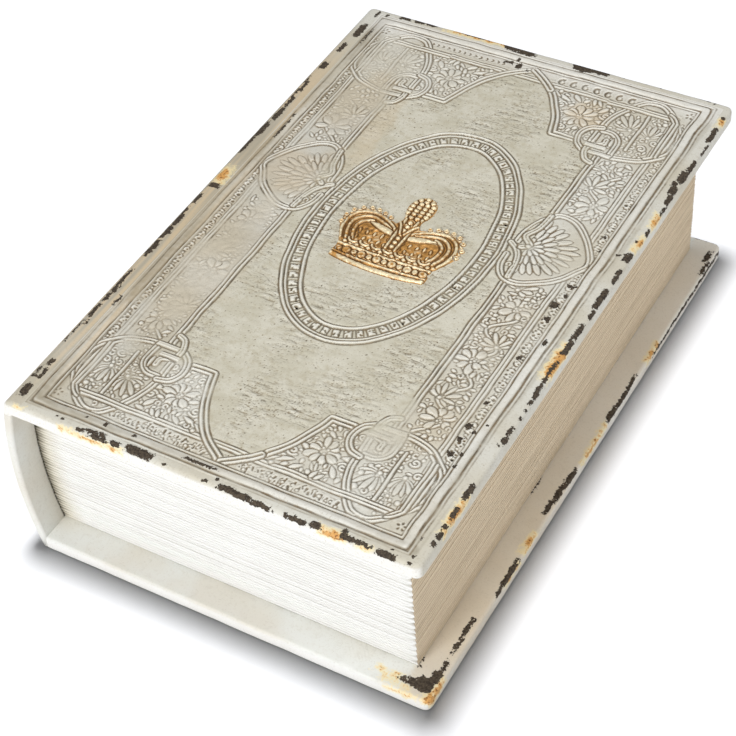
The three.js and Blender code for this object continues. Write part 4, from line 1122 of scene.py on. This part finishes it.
def finish_relief(relief):
    """Wears the embossing and finds the leather's wax, painted highlights and stains, with nothing raised
    along the edges.
    """
    rubbed = rub_down(relief)
    crinkle, pits = crease(relief)
    edge_x = np.minimum(relief.x - JOINT_WIDTH, COVER_WIDTH - RIM - relief.x)[:, None]
    edge_y = np.minimum(relief.y - RIM, COVER_LENGTH - RIM - relief.y)[None, :]
    fade = ease(np.minimum(edge_x, edge_y) / 0.9)
    relief.height *= fade
    find_wax_and_painted_highlight(relief, rubbed, crinkle, pits, fade)
    stain_leather(relief, fade)


# What the leather's finish reads from the relief
LOOKS = ("wax", "crest", "field", "tan", "grime", "bleach")


def cover_tiles(relief):
    """The face as closed slabs that meet on the same points."""
    nx, ny = relief.height.shape
    rows, columns = np.linspace(0, nx - 1, 3).astype(int), np.linspace(0, ny - 1, 4).astype(int)
    for row, across in enumerate(("spine", "fore")):
        for column, along in enumerate(("tail", "middle", "head")):
            i, j = slice(rows[row], rows[row + 1] + 1), slice(columns[column], columns[column + 1] + 1)
            x, y = np.meshgrid(relief.x[i], relief.y[j], indexing="ij")
            top = np.stack([x, y, BOX_HEIGHT + relief.height[i, j]], -1)
            values = {key: getattr(relief, key)[i, j] for key in LOOKS}
            shell = Shell()
            shell.slab(top, BOX_HEIGHT - LEATHER, **values, **wear(top))
            shell.build("cover_face_%s_%s" % (across, along), leather, "front_cover",
                        ("front_cover_leather",))


# How the leather turns round the covers' edges, the step between its rings, and the joint's ends
ROUND, INNER_ROUND = 1.6, 1.2
FOLD_STEPS, EDGE_STEP = 6, 0.5
END = 2.0


def arc(centre, radius, start, stop, steps=FOLD_STEPS):
    """Points on a circle's arc, in degrees."""
    angle = np.radians(np.linspace(start, stop, steps))
    return np.stack([centre[0] + radius * np.cos(angle), centre[1] + radius * np.sin(angle)], 1)


def wrap_profile():
    """Section of the leather folded round a board's edge, as inset from the edge and depth below the face."""
    outer = np.concatenate([
        [[RIM, 0], [(RIM + ROUND) / 2, 0]], arc((ROUND, ROUND), ROUND, -90, -180),
        [[0, 2.4], [0, 3.4], [0, 4.4]], arc((INNER_ROUND, COVER - INNER_ROUND), INNER_ROUND, 180, 90),
        [[s, COVER] for s in (2.2, 3.4, 5, 7, 9, 11, 13, TURN_IN)],
    ])
    inner = np.array([[TURN_IN, COVER - LEATHER], [LEATHER, COVER - LEATHER], [LEATHER, LEATHER],
                      [RIM, LEATHER]])
    return np.concatenate([outer, inner]), len(outer)


def along_cover(start, inset):
    """Places round the tail, fore-edge and head of a cover, (station, profile point, 2), at each inset
    from its outline: straight runs joined by quarter circles that shrink to mitres as the inset grows."""
    def runs(reach):
        return np.linspace(0, 1, round(reach / EDGE_STEP) + 1)[:, None]
    corner = np.maximum(inset, CORNER_RADIUS)
    radius = CORNER_RADIUS - np.minimum(inset, CORNER_RADIUS)
    cx = COVER_WIDTH - corner
    turn = np.radians(np.linspace(-90, 0, FOLD_STEPS + 2))[1:-1, None]
    k, m = runs(COVER_WIDTH), runs(COVER_LENGTH)
    tail = np.stack(np.broadcast_arrays(start + (cx - start) * k, corner - radius), -1)
    first = np.stack(np.broadcast_arrays(cx + radius * np.cos(turn), corner + radius * np.sin(turn)), -1)
    fore = np.stack(np.broadcast_arrays(cx + radius, corner + (COVER_LENGTH - 2 * corner) * m), -1)
    second, head = first[::-1].copy(), tail[::-1].copy()
    second[..., 1] = COVER_LENGTH - second[..., 1]
    head[..., 1] = COVER_LENGTH - head[..., 1]
    return np.concatenate([tail, first, fore, second, head])


def folded_edge(start, seed):
    """Rings of the leather round a cover's edge, (station, profile point, 3), with depth below the face as
    the third value. Its outer side wanders a little, as leather pasted by hand does."""
    profile, outer = wrap_profile()
    flat = along_cover(start, profile[:, 0])
    inward = (along_cover(start, profile[:, 0] + 0.01) - flat) / 0.01
    count = flat.shape[0]
    swing = sum(clouds((count, 8), (EDGE_STEP, 2.0), size, seed + n)[:, :1] * 0.05
                for n, size in enumerate((9, 40)))
    hold = ease((RIM - profile[:, 0]) / 1.6) * (np.arange(len(profile)) < outer)
    travel = np.arange(count) * EDGE_STEP
    ends = ease(np.minimum(travel, travel[-1] - travel) / 6)[:, None]
    flat = flat + inward * np.clip(np.abs(swing) * hold * ends, 0, 0.2)[..., None]
    depth = np.broadcast_to(profile[:, 1], flat.shape[:2])
    return np.concatenate([flat, depth[..., None]], -1)


def bleached(points, level):
    """How much painted light the leather takes: fully on the side that faces the tail, below a cover's face.
    """
    return ease((level - 0.5 - points[..., 2]) / 1.1) * ease((2.6 - points[..., 1]) / 2)


def lid_edge():
    """The front cover's folded edge, and the strip that closes the board's side at the joint."""
    rings = folded_edge(JOINT_WIDTH, 21)
    rings[..., 2] = BOX_HEIGHT - rings[..., 2]
    shell = Shell()
    # painted light on the side that faces the tail
    shell.tube(rings, bleach=bleached(rings, BOX_HEIGHT), **wear(rings))
    y = np.linspace(END, COVER_LENGTH - END, 90)
    back, front, low, high = JOINT_WIDTH - 0.2, JOINT_WIDTH + 0.1, LID_UNDERSIDE + 0.1, BOX_HEIGHT - 0.9
    section = np.array([[back, low], [front, low], [front, high], [back, high]])
    strip = np.stack(np.broadcast_arrays(section[None, :, 0], y[:, None], section[None, :, 1]), -1)
    shell.tube(strip)
    shell.build("lid_folded_edge", leather, "front_cover", ("front_cover_leather",),
                merge=True)


def shoulder(inset=0.0):
    """Section of the joint: up the spine's line, round the shoulder and level to the front board."""
    rise = np.linspace(SPINE_TOP, BOX_HEIGHT - SHOULDER_RADIUS, 6)
    centre = (bow(BOX_HEIGHT - SHOULDER_RADIUS) + SHOULDER_RADIUS, BOX_HEIGHT - SHOULDER_RADIUS)
    up = np.stack([bow(rise, inset), rise], 1)
    turn = arc(centre, SHOULDER_RADIUS - inset, 180, 90, 14)
    level = np.linspace(centre[0], JOINT_WIDTH, 8)
    return np.concatenate([up[:-1], turn, np.stack([level, np.full(8, BOX_HEIGHT - inset)], 1)[1:]])


def rounding(radius, depth):
    """How far a corner rounded to a radius stands back from the square one, at a depth from the end."""
    return radius - np.sqrt(np.clip(radius ** 2 - (radius - np.minimum(depth, radius)) ** 2, 0, None))


def joint_leather():
    """The soft leather over the joint: a thin skin, and two ends folded over the lid's corners."""
    section = np.concatenate([shoulder(), shoulder(0.9)[::-1]])
    along = np.linspace(END, COVER_LENGTH - END, 476)[:, None]
    rings = np.stack(np.broadcast_arrays(section[None, :, 0], along, section[None, :, 1]), -1)
    y, z = rings[..., 1], rings[..., 2]
    stained = ease((z - 78) / 3) * ease((y + 30) / 90) * ease((260 - y) / 60)
    streak = ease(clouds(y.shape, (0.56, 0.6), (60, 1.6), 33) * 0.45 + 0.5)
    marks = {"tan": stained * (0.25 + 0.75 * streak), "grime": stained * (0.9 - 0.7 * streak), **wear(rings)}
    # the inner layer has no marks
    outside = np.arange(len(section)) < len(section) // 2
    marks = {name: values * outside for name, values in marks.items()}
    shell = Shell()
    shell.tube(rings, bleach=ease((79.5 - z) / 3.5) * 0.6, **marks)
    skin = shell.build("joint_leather", leather, None, ("front_hinge_leather",))
    middle = COVER_LENGTH / 2
    tuple(place((bow(SPINE_TOP), middle, SPINE_TOP)))
    tuple(place((JOINT_WIDTH, middle, BOX_HEIGHT)))
    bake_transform(skin)
    shell = Shell()
    depth = np.append(ROUND * (1 - np.cos(np.linspace(0, np.pi / 2, 8))), END)
    for side in (0, COVER_LENGTH):
        rings = []
        for d, inset, rise in zip(depth, rounding(ROUND, depth), rounding(INNER_ROUND, depth)):
            edge = bow(SPINE_TOP, SPINE_THICKNESS) - rise
            foot = [[JOINT_WIDTH, LID_UNDERSIDE + rise], [edge, LID_UNDERSIDE + rise], [edge, SPINE_TOP]]
            outline = np.concatenate([shoulder(inset), foot])
            rings.append(np.stack([outline[:, 0], np.full(len(outline), abs(side - d)), outline[:, 1]], 1))
        rings = np.array(rings)
        low = ease((79.5 - rings[..., 2]) / 3.5) * 0.6
        # painted light on the side that faces the tail
        shell.tube(rings, bleach=np.maximum(bleached(rings, BOX_HEIGHT), low), **wear(rings))
    shell.build("joint_leather_ends", leather, "front_cover", ("front_hinge_leather",),
                merge=True)


# Spine and back cover

def band_rise(y, z):
    """How far the raised bands stand out: rounded bumps across, fading towards the spine's ends."""
    across = np.abs(y[..., None] - BAND_PLACES).min(-1)
    profile = hump(across, 3.1) * ease((3.4 - across) / 1.6)
    return 1.3 * profile * ease((z - 3) / 9) * ease((SPINE_TOP - z) / 7)


def spine_plate():
    """The bowed spine: at each height a ring runs along its face, round the ends and along the inside."""
    z = np.concatenate([ROUND * (1 - np.cos(np.linspace(0, np.pi / 2, 7)[:-1])),
                        np.linspace(ROUND, COVER - 0.05, 6), np.linspace(COVER, SPINE_TOP, 92)])[:, None]
    cutback = rounding(ROUND, z)
    c, s = np.cos(np.linspace(0, np.pi / 2, 8)), np.sin(np.linspace(0, np.pi / 2, 8))
    face = np.linspace(ROUND, COVER_LENGTH - ROUND, 470)

    def end_part(stop):
        """Round one end: places along the spine, shares of the plate's thickness and steps inwards."""
        parts = [(face[0] - ROUND * s, np.zeros(8), ROUND * (1 - c)),
                 (np.zeros(3), np.linspace(0.4, 0.7, 3), np.zeros(3)),
                 (INNER_ROUND * (1 - c), np.ones(8), -INNER_ROUND * (1 - s)),
                 (np.linspace(END, stop, 10), np.ones(10), np.zeros(10))]
        return [np.concatenate(column) for column in zip(*parts)]
    tail, head = end_part(TAIL - 0.3), end_part(COVER_LENGTH - HEAD - 0.3)
    rest = np.zeros(len(face) - 2)
    along = np.concatenate([tail[0], [TAIL - 0.3, HEAD + 0.3], (COVER_LENGTH - head[0])[::-1],
                            face[1:-1][::-1]])
    share = np.concatenate([tail[1], [0.8, 0.8], head[1][::-1], rest])
    shift = np.concatenate([tail[2], [0, 0], head[2][::-1], rest])
    outer = bow(z) + cutback
    inner = bow(np.maximum(z, COVER), SPINE_THICKNESS)
    x = outer + (inner - outer) * share + shift
    ends = np.clip((np.abs(along - COVER_LENGTH / 2) - COVER_LENGTH / 2 + ROUND) / ROUND, 0, 1)
    y = along - np.sign(along - COVER_LENGTH / 2) * cutback * ends
    outside = (share == 0) & (shift == 0)
    swell = band_rise(y, z) + clouds(x.shape, (0.7, 0.58), 12, 31) * 0.04
    hold = ease(np.minimum(y, COVER_LENGTH - y) / 5 - 0.3) * ease(z / 5) * ease((SPINE_TOP - z) / 3)
    rings = np.stack([x - swell * hold * outside, y, np.broadcast_to(z, x.shape)], -1)
    # the leather turned over the board's top stands 0.1 above it
    turned_over = rings[-1:] + np.stack([0.15 - 0.3 * share, 0 * share, 0 * share + 0.1], -1)
    rings = np.concatenate([rings, turned_over])
    sunk = np.abs(np.abs(rings[..., 1, None] - BAND_PLACES).min(-1) - 3.3)
    edge = ease((2.5 - rings[..., 1]) / 2) * 0.15
    shell = Shell()
    shell.tube(rings, wax=ease(1 - sunk / 0.8) * outside * 0.35, grime=edge, **wear(rings, front=False))
    shell.build("spine_leather_skin", back_leather_painted_paler, "box",
                ("spine_leather", *("raised_band_%d" % n for n in range(1, 6))), merge=True)


def back_cover():
    """The back cover's folded edge, the overlap of its leather on the tail's ledge, and its underside."""
    start = bow(COVER, SPINE_THICKNESS)
    rings = folded_edge(start, 41)
    touch = wear(rings, front=False)
    x, y = rings[..., 0], rings[..., 1]
    profile, outer = wrap_profile()
    ledge = (profile[:, 1] == COVER) & (np.arange(len(profile)) < outer)
    lap = ease((x - 132.6) / 0.8) * ease((139.2 - x) / 0.8) * (y < TAIL)
    rings[..., 2] = rings[..., 2] + lap * ledge * 0.25
    # painted shade makes the fore-edge's ledge darker and warmer, and painted light lightens it towards the
    # head
    fore = ease((x - FORE + 2) / 2)
    tan = fore * 0.55 * (1 - 0.5 * ease((COVER - 0.6 - rings[..., 2]) / 1.5))
    painted_light_towards_head = 0.4 * ease((y - 90) / 90) * fore
    shell = Shell()
    # the side that faces the tail takes painted light
    shell.tube(rings, tan=tan, bleach=np.maximum(bleached(rings, COVER), painted_light_towards_head), **touch)
    x, y = np.meshgrid(np.linspace(start, COVER_WIDTH - RIM, 84), np.linspace(RIM, COVER_LENGTH - RIM, 132),
                       indexing="ij")
    shell.slab(np.stack([x, y, np.full(x.shape, LEATHER)], -1), 0.0)
    shell.build("back_cover_skin", back_leather_painted_paler, "box", ("back_cover_leather",), merge=True)


# Pages

def leaf_edges(side, node, finish, seed):
    """A facing cut in ridges that stand for leaves: a ridged section carried along one side of the tray and
    mitred at the fore-edge. Each leaf stands a little forward or back of its neighbours."""
    count = round((TRAY_TOP - COVER) / PAGE_PITCH)
    steps = 7
    z = np.linspace(COVER, TRAY_TOP, count * steps + 1)
    phase = (np.arange(z.size) % steps) / steps
    leaf = np.minimum(np.arange(z.size) // steps, count - 1)
    draw = np.random.default_rng(seed)
    span = COVER_LENGTH if side == "fore" else COVER_WIDTH
    share = np.concatenate([np.linspace(0, 0.06, 15), np.linspace(0.06, 1, round(span / 2.5))[1:]])[:, None]
    stations = len(share)
    drift = clouds((stations, z.size), (2.5, 0.22), (60, 5), draw.integers(99)) * 0.05
    # near the spine the gap between two leaves widens to a wedge, painted dark as shade
    wedge = ease(1 - share * span / draw.uniform(5, 10, count)[leaf]) * (side != "fore")
    cut = np.abs(2 * phase - 1) ** (3.6 - 2.8 * wedge)
    groove = cut * PAGE_GROOVE * draw.uniform(0.55, 1.1, count)[leaf] * (1 + wedge)
    groove = groove + draw.uniform(0, 0.16, count)[leaf]
    # at the mitre every other leaf of the tail stops short of its neighbours
    short = ease(1 - (1 - share) * span / 3) * (leaf % 2) * draw.uniform(0.5, 1.1, count)[leaf]
    short = short * (side == "tail")
    depth = np.clip(groove + drift + short, 0.0, FACING - 0.9)
    back = np.full((stations, 1), FACING)
    depth = np.concatenate([depth, back, back], 1)
    height = np.broadcast_to(np.append(z, [TRAY_TOP, COVER]), depth.shape)
    seat = 0.05
    if side == "fore":
        start, stop = TAIL + depth + seat, HEAD - depth - seat
        x, y = FORE - depth, start + (stop - start) * share
    else:
        start, stop = bow(height, SPINE_THICKNESS - LEATHER), FORE - depth - seat
        x, y = start + (stop - start) * share, TAIL + depth if side == "tail" else HEAD - depth
    blank = np.zeros((stations, 2))
    # sunk paints shade in the grooves
    sunk = np.concatenate([ease(groove / PAGE_GROOVE * 1.2), blank], 1)
    # painted shade beside the spine's inner wall
    dusk = ease(1 - share * span / 15) * 0.8 * (side != "fore")
    patches = ease(clouds((stations, 4), (2.5, 2.5), 9, 77)[:, :1] * 0.5 + 0.4)
    # painted shadow along the joint at the leaves' foot
    foot = ease((COVER + 0.5 - z) / 0.35) * patches * 0.8
    mark = np.concatenate([np.clip(wedge * cut * 1.3 + foot, 0, 1), blank], 1)
    shell = Shell()
    shell.tube(np.stack([x, y, height], -1), sunk=sunk, dusk=np.broadcast_to(dusk, depth.shape), mark=mark)
    shell.build(node.replace("pages", "leaves"), finish, "box", (node,), smooth=35)


# Linings

def cloth_panel(shell, low, high, thin, seed):
    """A sheet of cloth pasted to a wall: a slightly uneven face over a flat back, thin along one axis.
    thin is the axis and the side of it that shows, as +1 or -1."""
    axis, way = thin
    low, high = np.array(low, float), np.array(high, float)
    u, v = [k for k in range(3) if k != axis]
    nu, nv = (max(int((high[k] - low[k]) / 2.2), 4) for k in (u, v))
    a, b = np.meshgrid(np.linspace(low[u], high[u], nu), np.linspace(low[v], high[v], nv), indexing="ij")
    gap = np.minimum(np.minimum(a - low[u], high[u] - a), np.minimum(b - low[v], high[v] - b))
    rise = ease(gap / 2.4) * 0.25 + clouds((nu, nv), (2.2, 2.2), 14, seed) * 0.01 * ease(gap / 4)
    face = (high if way > 0 else low)[axis] + way * (rise - 0.35)
    back = (low if way > 0 else high)[axis]
    points = np.zeros((2, nu, nv, 3))
    points[..., u], points[..., v] = a, b
    points[0, ..., axis], points[1, ..., axis] = face, back
    rim = rim_of(nu, nv)
    shell.body(points, [grid_faces(nu, nv), walls(rim, nu * nv + rim), grid_faces(nu, nv)[:, ::-1] + nu * nv])


def linings():
    """Cloth on the tray's floor and walls and inside the lid."""
    x0, x1 = 6.0, FORE - FACING - 5
    y0, y1 = TAIL + FACING + 5, HEAD - FACING - 5
    floor, top, thick = 8.6, TRAY_TOP - 0.4, 0.8
    base = floor + thick
    # the low corner, the high corner, and the axis and side that show
    panels = [((x0, y0, floor), (x1, y1, base), (2, 1)), ((x0, y0, base), (x0 + thick, y1, top), (0, 1)),
              ((x1 - thick, y0, base), (x1, y1, top), (0, -1)),
              ((x0 + thick, y0, base), (x1 - thick, y0 + thick, top), (1, 1)),
              ((x0 + thick, y1 - thick, base), (x1 - thick, y1, top), (1, -1))]
    shell = Shell()
    for number, panel in enumerate(panels):
        cloth_panel(shell, *panel, 61 + number)
    shell.build("tray_cloth", cloth, "box",
                ("floor_lining", "spine_lining", "fore_edge_lining", "tail_lining", "head_lining"))
    shell = Shell()
    cloth_panel(shell, (JOINT_WIDTH + 0.3, TURN_IN, LID_UNDERSIDE),
                (COVER_WIDTH - TURN_IN, COVER_LENGTH - TURN_IN, LID_UNDERSIDE + LEATHER), (2, -1), 66)
    shell.build("lid_cloth", cloth, "front_cover", ("lid_lining",))


# Crown

CROWN_STEP = 0.2
CROWN_X = 85.3
CROWN_LEFT = [(65, 119.9), (64.6, 123), (64.9, 127), (63.8, 130), (61.6, 134.4), (59.9, 138), (59.6, 142),
              (60.6, 145.6), (63, 148.6), (67, 150.4), (71.6, 150.3), (76.4, 148.2), (79.6, 147),
              (81.2, 148.6), (81.4, 151.6), (80.2, 154), (79.6, 158), (80.4, 162), (82.6, 164.6),
              (85.2, 165.4)]
# three lines that follow each arch
CROWN_ARCHES = [[(63.9, 130.6), (61.9, 136), (61.8, 141.6), (64, 145.8), (68.2, 148), (73.4, 147.6),
                 (78.8, 145), (83.4, 141.2)],
                [(66.4, 131), (64.4, 136.4), (64.4, 141), (66.6, 144.2), (70, 145.8), (74.4, 145),
                 (79.6, 142.6)],
                [(68.8, 131.4), (67, 136.6), (67.2, 140.4), (69.2, 142.8), (71.6, 143.8)]]
PEARLS = [(60.0, 138.8), (59.9, 143.0), (61.2, 146.8), (64.0, 149.4), (67.3, 150.7), (70.5, 150.7),
          (73.5, 149.9), (76.6, 148.7)]


def crown_outline():
    """The crown's silhouette: the left side, its mirror image and the sagging foot."""
    left = curve(CROWN_LEFT, 6)
    right = np.stack([2 * CROWN_X - left[::-1, 0], left[::-1, 1]], 1)
    foot = curve([(2 * CROWN_X - 65, 119.9), (96, 118.1), (CROWN_X, 117.4), (75, 118.1), (65, 119.9)], 6)
    return np.concatenate([left, right[1:], foot[1:]])


def crown_relief():
    """Heights of the stamped crown above the cover, with where its gold takes a painted highlight and how
    dark it is.
    """
    r = Relief(np.arange(55, 116, CROWN_STEP), np.arange(112, 169, CROWN_STEP))
    outline = crown_outline()
    x, y = np.meshgrid(r.x, r.y, indexing="ij")
    whole, far = r.distance(np.concatenate([outline, outline[:1]]), 4)
    distance = np.full(x.shape, 4.0)
    distance[whole] = far
    signed = np.where(inside(outline, x, y), distance, -distance)
    body = 0.62
    r.height = np.where(signed > 0, body * ease(signed / 0.8 * 0.8 + 0.2), 0.0)

    def both(path):
        """A path and its mirror image."""
        path = np.asarray(path, float)
        return [path, np.stack([2 * CROWN_X - path[:, 0], path[:, 1]], 1)]

    def paler(path, half, edge, most=1.0):
        """Paints a highlight on the gold along a path."""
        window, gap = r.distance(path, 2)
        r.stain[window] = np.maximum(r.stain[window], ease((half - gap) / edge) * most)

    # the cap behind the arches lies lower, with short tufts on it
    window, gap = r.distance(np.array([[73, 135.4], [98, 135.4]]), 5)
    r.work(window, 0.4, ease((4.6 - gap) / 1.2))
    draw = np.random.default_rng(7)
    for i, tx in enumerate(np.arange(66.5, 105, 3.1)):
        for ty in (132.6, 136.4):
            top = (tx + draw.uniform(-0.6, 0.6), ty + draw.uniform(1.4, 2.4))
            r.petal((tx, ty - 0.6), top, 1.2, rise=0.3, groove=0.28, vein=0, base=0.42)
    for path in CROWN_ARCHES:
        for line in both(curve(path)):
            r.line(line, 0.66, 0.34, groove=0.34, base=body)
    for leaf in both([(70.6, 143.0), (83.4, 139.8)]):
        r.petal(leaf[0], leaf[1], 3.2, rise=0.5, groove=0.3, vein=0, base=body)
        paler(leaf, 1.5, 0.7)

    # band: roll, jewels between two lines, beads with scallops above
    def sag(height, drop=2.0):
        """A line across the band that hangs lowest in the middle."""
        run = np.linspace(-20, 20, 24)
        return np.stack([CROWN_X + run, height - drop * (1 - (run / 20) ** 2)], 1)
    r.line(sag(120.9), 1.1, 0.7, groove=0.5, base=0.3)
    paler(sag(121.2)[2:-2], 0.9, 0.5, 0.9)
    r.line(sag(122.6, 1.0), 0.42, 0.3, groove=0.4, base=body)
    r.line(sag(127.2, 0.5), 0.6, 0.4, groove=0.45, base=body)
    for i, bx in enumerate(np.linspace(67, 103.6, 12)):
        size = 1.75 if i % 2 else 1.25
        r.dome((bx, 124.6), size, 0.55, groove=0.45, base=body - 0.1, dimple=0.16)
    for bx in np.linspace(67.2, 103.4, 15):
        r.dome((bx, 128.9), 0.95, 0.42, groove=0.3, base=body - 0.05)
    for bx in np.arange(70, 102, 5.1):
        r.line(ellipse((bx, 131.6), (2.3, 1.9), 190, 350, steps=12), 0.5, 0.4, groove=0.42, base=body - 0.1)
    # middle post, its collar and the beaded top
    for line in both([(83.3, 132), (82.9, 140), (82.7, 152)]):
        r.line(line, 0.55, 0.4, groove=0.35, base=body)
    for py in np.arange(133.6, 151, 2.5):
        r.dome((CROWN_X, py), 1.0, 0.5, groove=0.35, base=body)
    for line in both([(80.2, 149.4), (82.6, 146), (84.4, 141.6)]):
        r.line(line, 0.5, 0.35, groove=0.35, base=body)
    for row, py in enumerate(np.arange(151.8, 164, 2.15)):
        half = 3 if row < 5 else 2
        for k in range(-half, half + 1, 2):
            r.dome((CROWN_X + k * 1.32, py), 1.15, 0.62, groove=0.4, base=body - 0.1)
    r.dome((CROWN_X, 163.9), 1.1, 0.55, groove=0.35, base=body - 0.1)
    # pearls along the arches
    for row in both(PEARLS):
        for centre in row:
            r.dome(centre, 1.15, 0.5, groove=0.6, base=0.25, dimple=0.5)
            window = r.window(centre, 1.7)
            far = np.hypot(r.x[window[0], None] - centre[0], r.y[None, window[1]] - centre[1])
            signed[window] = np.maximum(signed[window], 1.5 - far)
    r.height += clouds(r.height.shape, r.step, 1.3, 9) * 0.06 + clouds(r.height.shape, r.step, 3.5, 10) * 0.04
    r.height = np.where(signed > -0.15, r.height, 0)
    r.height = r.height * ease(signed / 0.5 + 0.3) - 0.3 * ease(-signed / 0.3)
    return r, signed


def crown_plate():
    """The crown as one closed plate: its worked face where the silhouette reaches, walls and a flat back."""
    r, signed = crown_relief()
    height = r.height
    sunk = blurred(height, r.step, 0.7) - height
    aged = clouds(height.shape, r.step, 7, 11) * 0.25 + ease((84 - r.x) / 14)[:, None] * 0.3
    wax = np.clip(sunk / 0.2 + aged * 0.7, 0, 1)
    # pale: a painted highlight on the crests and along the roll and the leaves
    pale = np.clip(-sunk / 0.2 - 0.35 - aged * 1.3 + r.stain * 1.4, 0, 1)
    quads = grid_faces(*height.shape)
    quads = quads[(signed.ravel() > -0.45)[quads].all(1)]
    used, flat = np.unique(quads, return_inverse=True)
    quads = flat.reshape(-1, 4)
    x, y = np.meshgrid(r.x, r.y, indexing="ij")
    top = np.stack([x.ravel()[used], y.ravel()[used], BOX_HEIGHT + height.ravel()[used]], 1)
    back = top.copy()
    back[:, 2] = BOX_HEIGHT - 0.5
    count = len(used)
    edges = np.concatenate([quads[:, [k, (k + 1) % 4]] for k in range(4)])
    code = edges[:, 0] * count + edges[:, 1]
    twin = edges[:, 1] * count + edges[:, 0]
    rim = edges[~np.isin(code, twin)]
    drop = np.stack([rim[:, 1], rim[:, 0], rim[:, 0] + count, rim[:, 1] + count], -1)
    shell = Shell()
    shell.body(np.concatenate([top, back]), [quads, drop, quads[:, ::-1] + count],
               wax=np.tile(wax.ravel()[used], 2), pale=np.tile(pale.ravel()[used], 2))
    shell.build("gold_crown_relief", gold_finish(), "front_cover", ("gold_crown",))


# Making

relief = cover_relief()
finish_relief(relief)
cover_tiles(relief)
lid_edge()
joint_leather()
spine_plate()
back_cover()
leaf_edges("tail", "tail_pages", lit_white_pages, 51)
leaf_edges("head", "head_pages", lit_white_pages, 52)
leaf_edges("fore", "fore_edge_pages", shaded_fore_edge_pages, 53)
linings()
crown_plate()
for node in ("back_board", "back_filler_card", "spine_board", "front_board"):
    dress(node, card)
for node in ("tray_floor", "spine_wall", "tail_wall", "head_wall", "fore_edge_wall"):
    dress(node, timber)
dress("rim_paper", rim_sheet)


# Stage and light

def make_floor():
    """A broad white floor just under the box, which keeps its shadow."""
    reach = 3000.0
    corners = np.array([[[-reach, -reach, 0], [-reach, reach, 0]], [[reach, -reach, 0], [reach, reach, 0]]])
    corners = place(corners + (COVER_WIDTH / 2, COVER_LENGTH / 2, -0.05))
    mesh = bpy.data.meshes.new("floor")
    mesh.from_pydata(corners.reshape(-1, 3).tolist(), [], grid_faces(2, 2).tolist())
    floor = bpy.data.objects.new("floor", mesh)
    bpy.context.scene.collection.objects.link(floor)
    f = Finish("floor")
    mesh.materials.append(f.shade(Base_Color=srgb(214, 215, 218), Roughness=0.9, Specular_IOR_Level=0.0))
    return floor


def make_sky():
    """A pale sky with no picture in it."""
    world = bpy.data.worlds.new("sky")
    bpy.context.scene.world = world
    world.use_nodes = True
    sky = world.node_tree.nodes["Background"].inputs
    sky["Color"].default_value = (1, 1, 1, 1)
    sky["Strength"].default_value = 0.24


def hang_lamp(floor, name, spot, size, energy, link):
    """A soft oval lamp that looks at the box and lights either the floor alone or all but the floor."""
    data = bpy.data.lights.new(name, "AREA")
    data.shape, data.energy = "ELLIPSE", energy
    data.size, data.size_y = size[0] * MM, size[1] * MM
    lamp = bpy.data.objects.new(name, data)
    back = Vector(np.array(spot, float) - (COVER_WIDTH / 2, COVER_LENGTH / 2, 40)).normalized()
    across = (Vector((1, 0, 0)) - back * back.x).normalized()
    axes = Matrix([across, back.cross(across), back]).transposed()
    lamp.matrix_world = Matrix.Translation(place(spot)) @ axes.to_4x4()
    bpy.context.scene.collection.objects.link(lamp)
    lit = bpy.data.collections.new(name + "_floor")
    lit.objects.link(floor)
    lamp.light_linking.receiver_collection = lit
    lit.collection_objects[0].light_linking.link_state = link


def make_stage():
    """The floor and sky, with soft lamps overhead, low at the tail and to the right."""
    floor = make_floor()
    make_sky()
    # where each lamp hangs, its size in millimetres, its power, and whether the floor is in or out
    for lamp in (("overhead", (-4, 284, 1067), (240, 240), 2.9, "EXCLUDE"),
                 ("floor_light", (-7, 195, 2134), (380, 360), 61.0, "INCLUDE"),
                 ("front", (-91, -1275, 840), (720, 720), 17.0, "EXCLUDE"),
                 ("side", (860, 110, 640), (500, 500), 2.6, "EXCLUDE")):
        hang_lamp(floor, *lamp)


make_camera()
make_stage()
bpy.context.scene.view_settings.view_transform = "Standard"
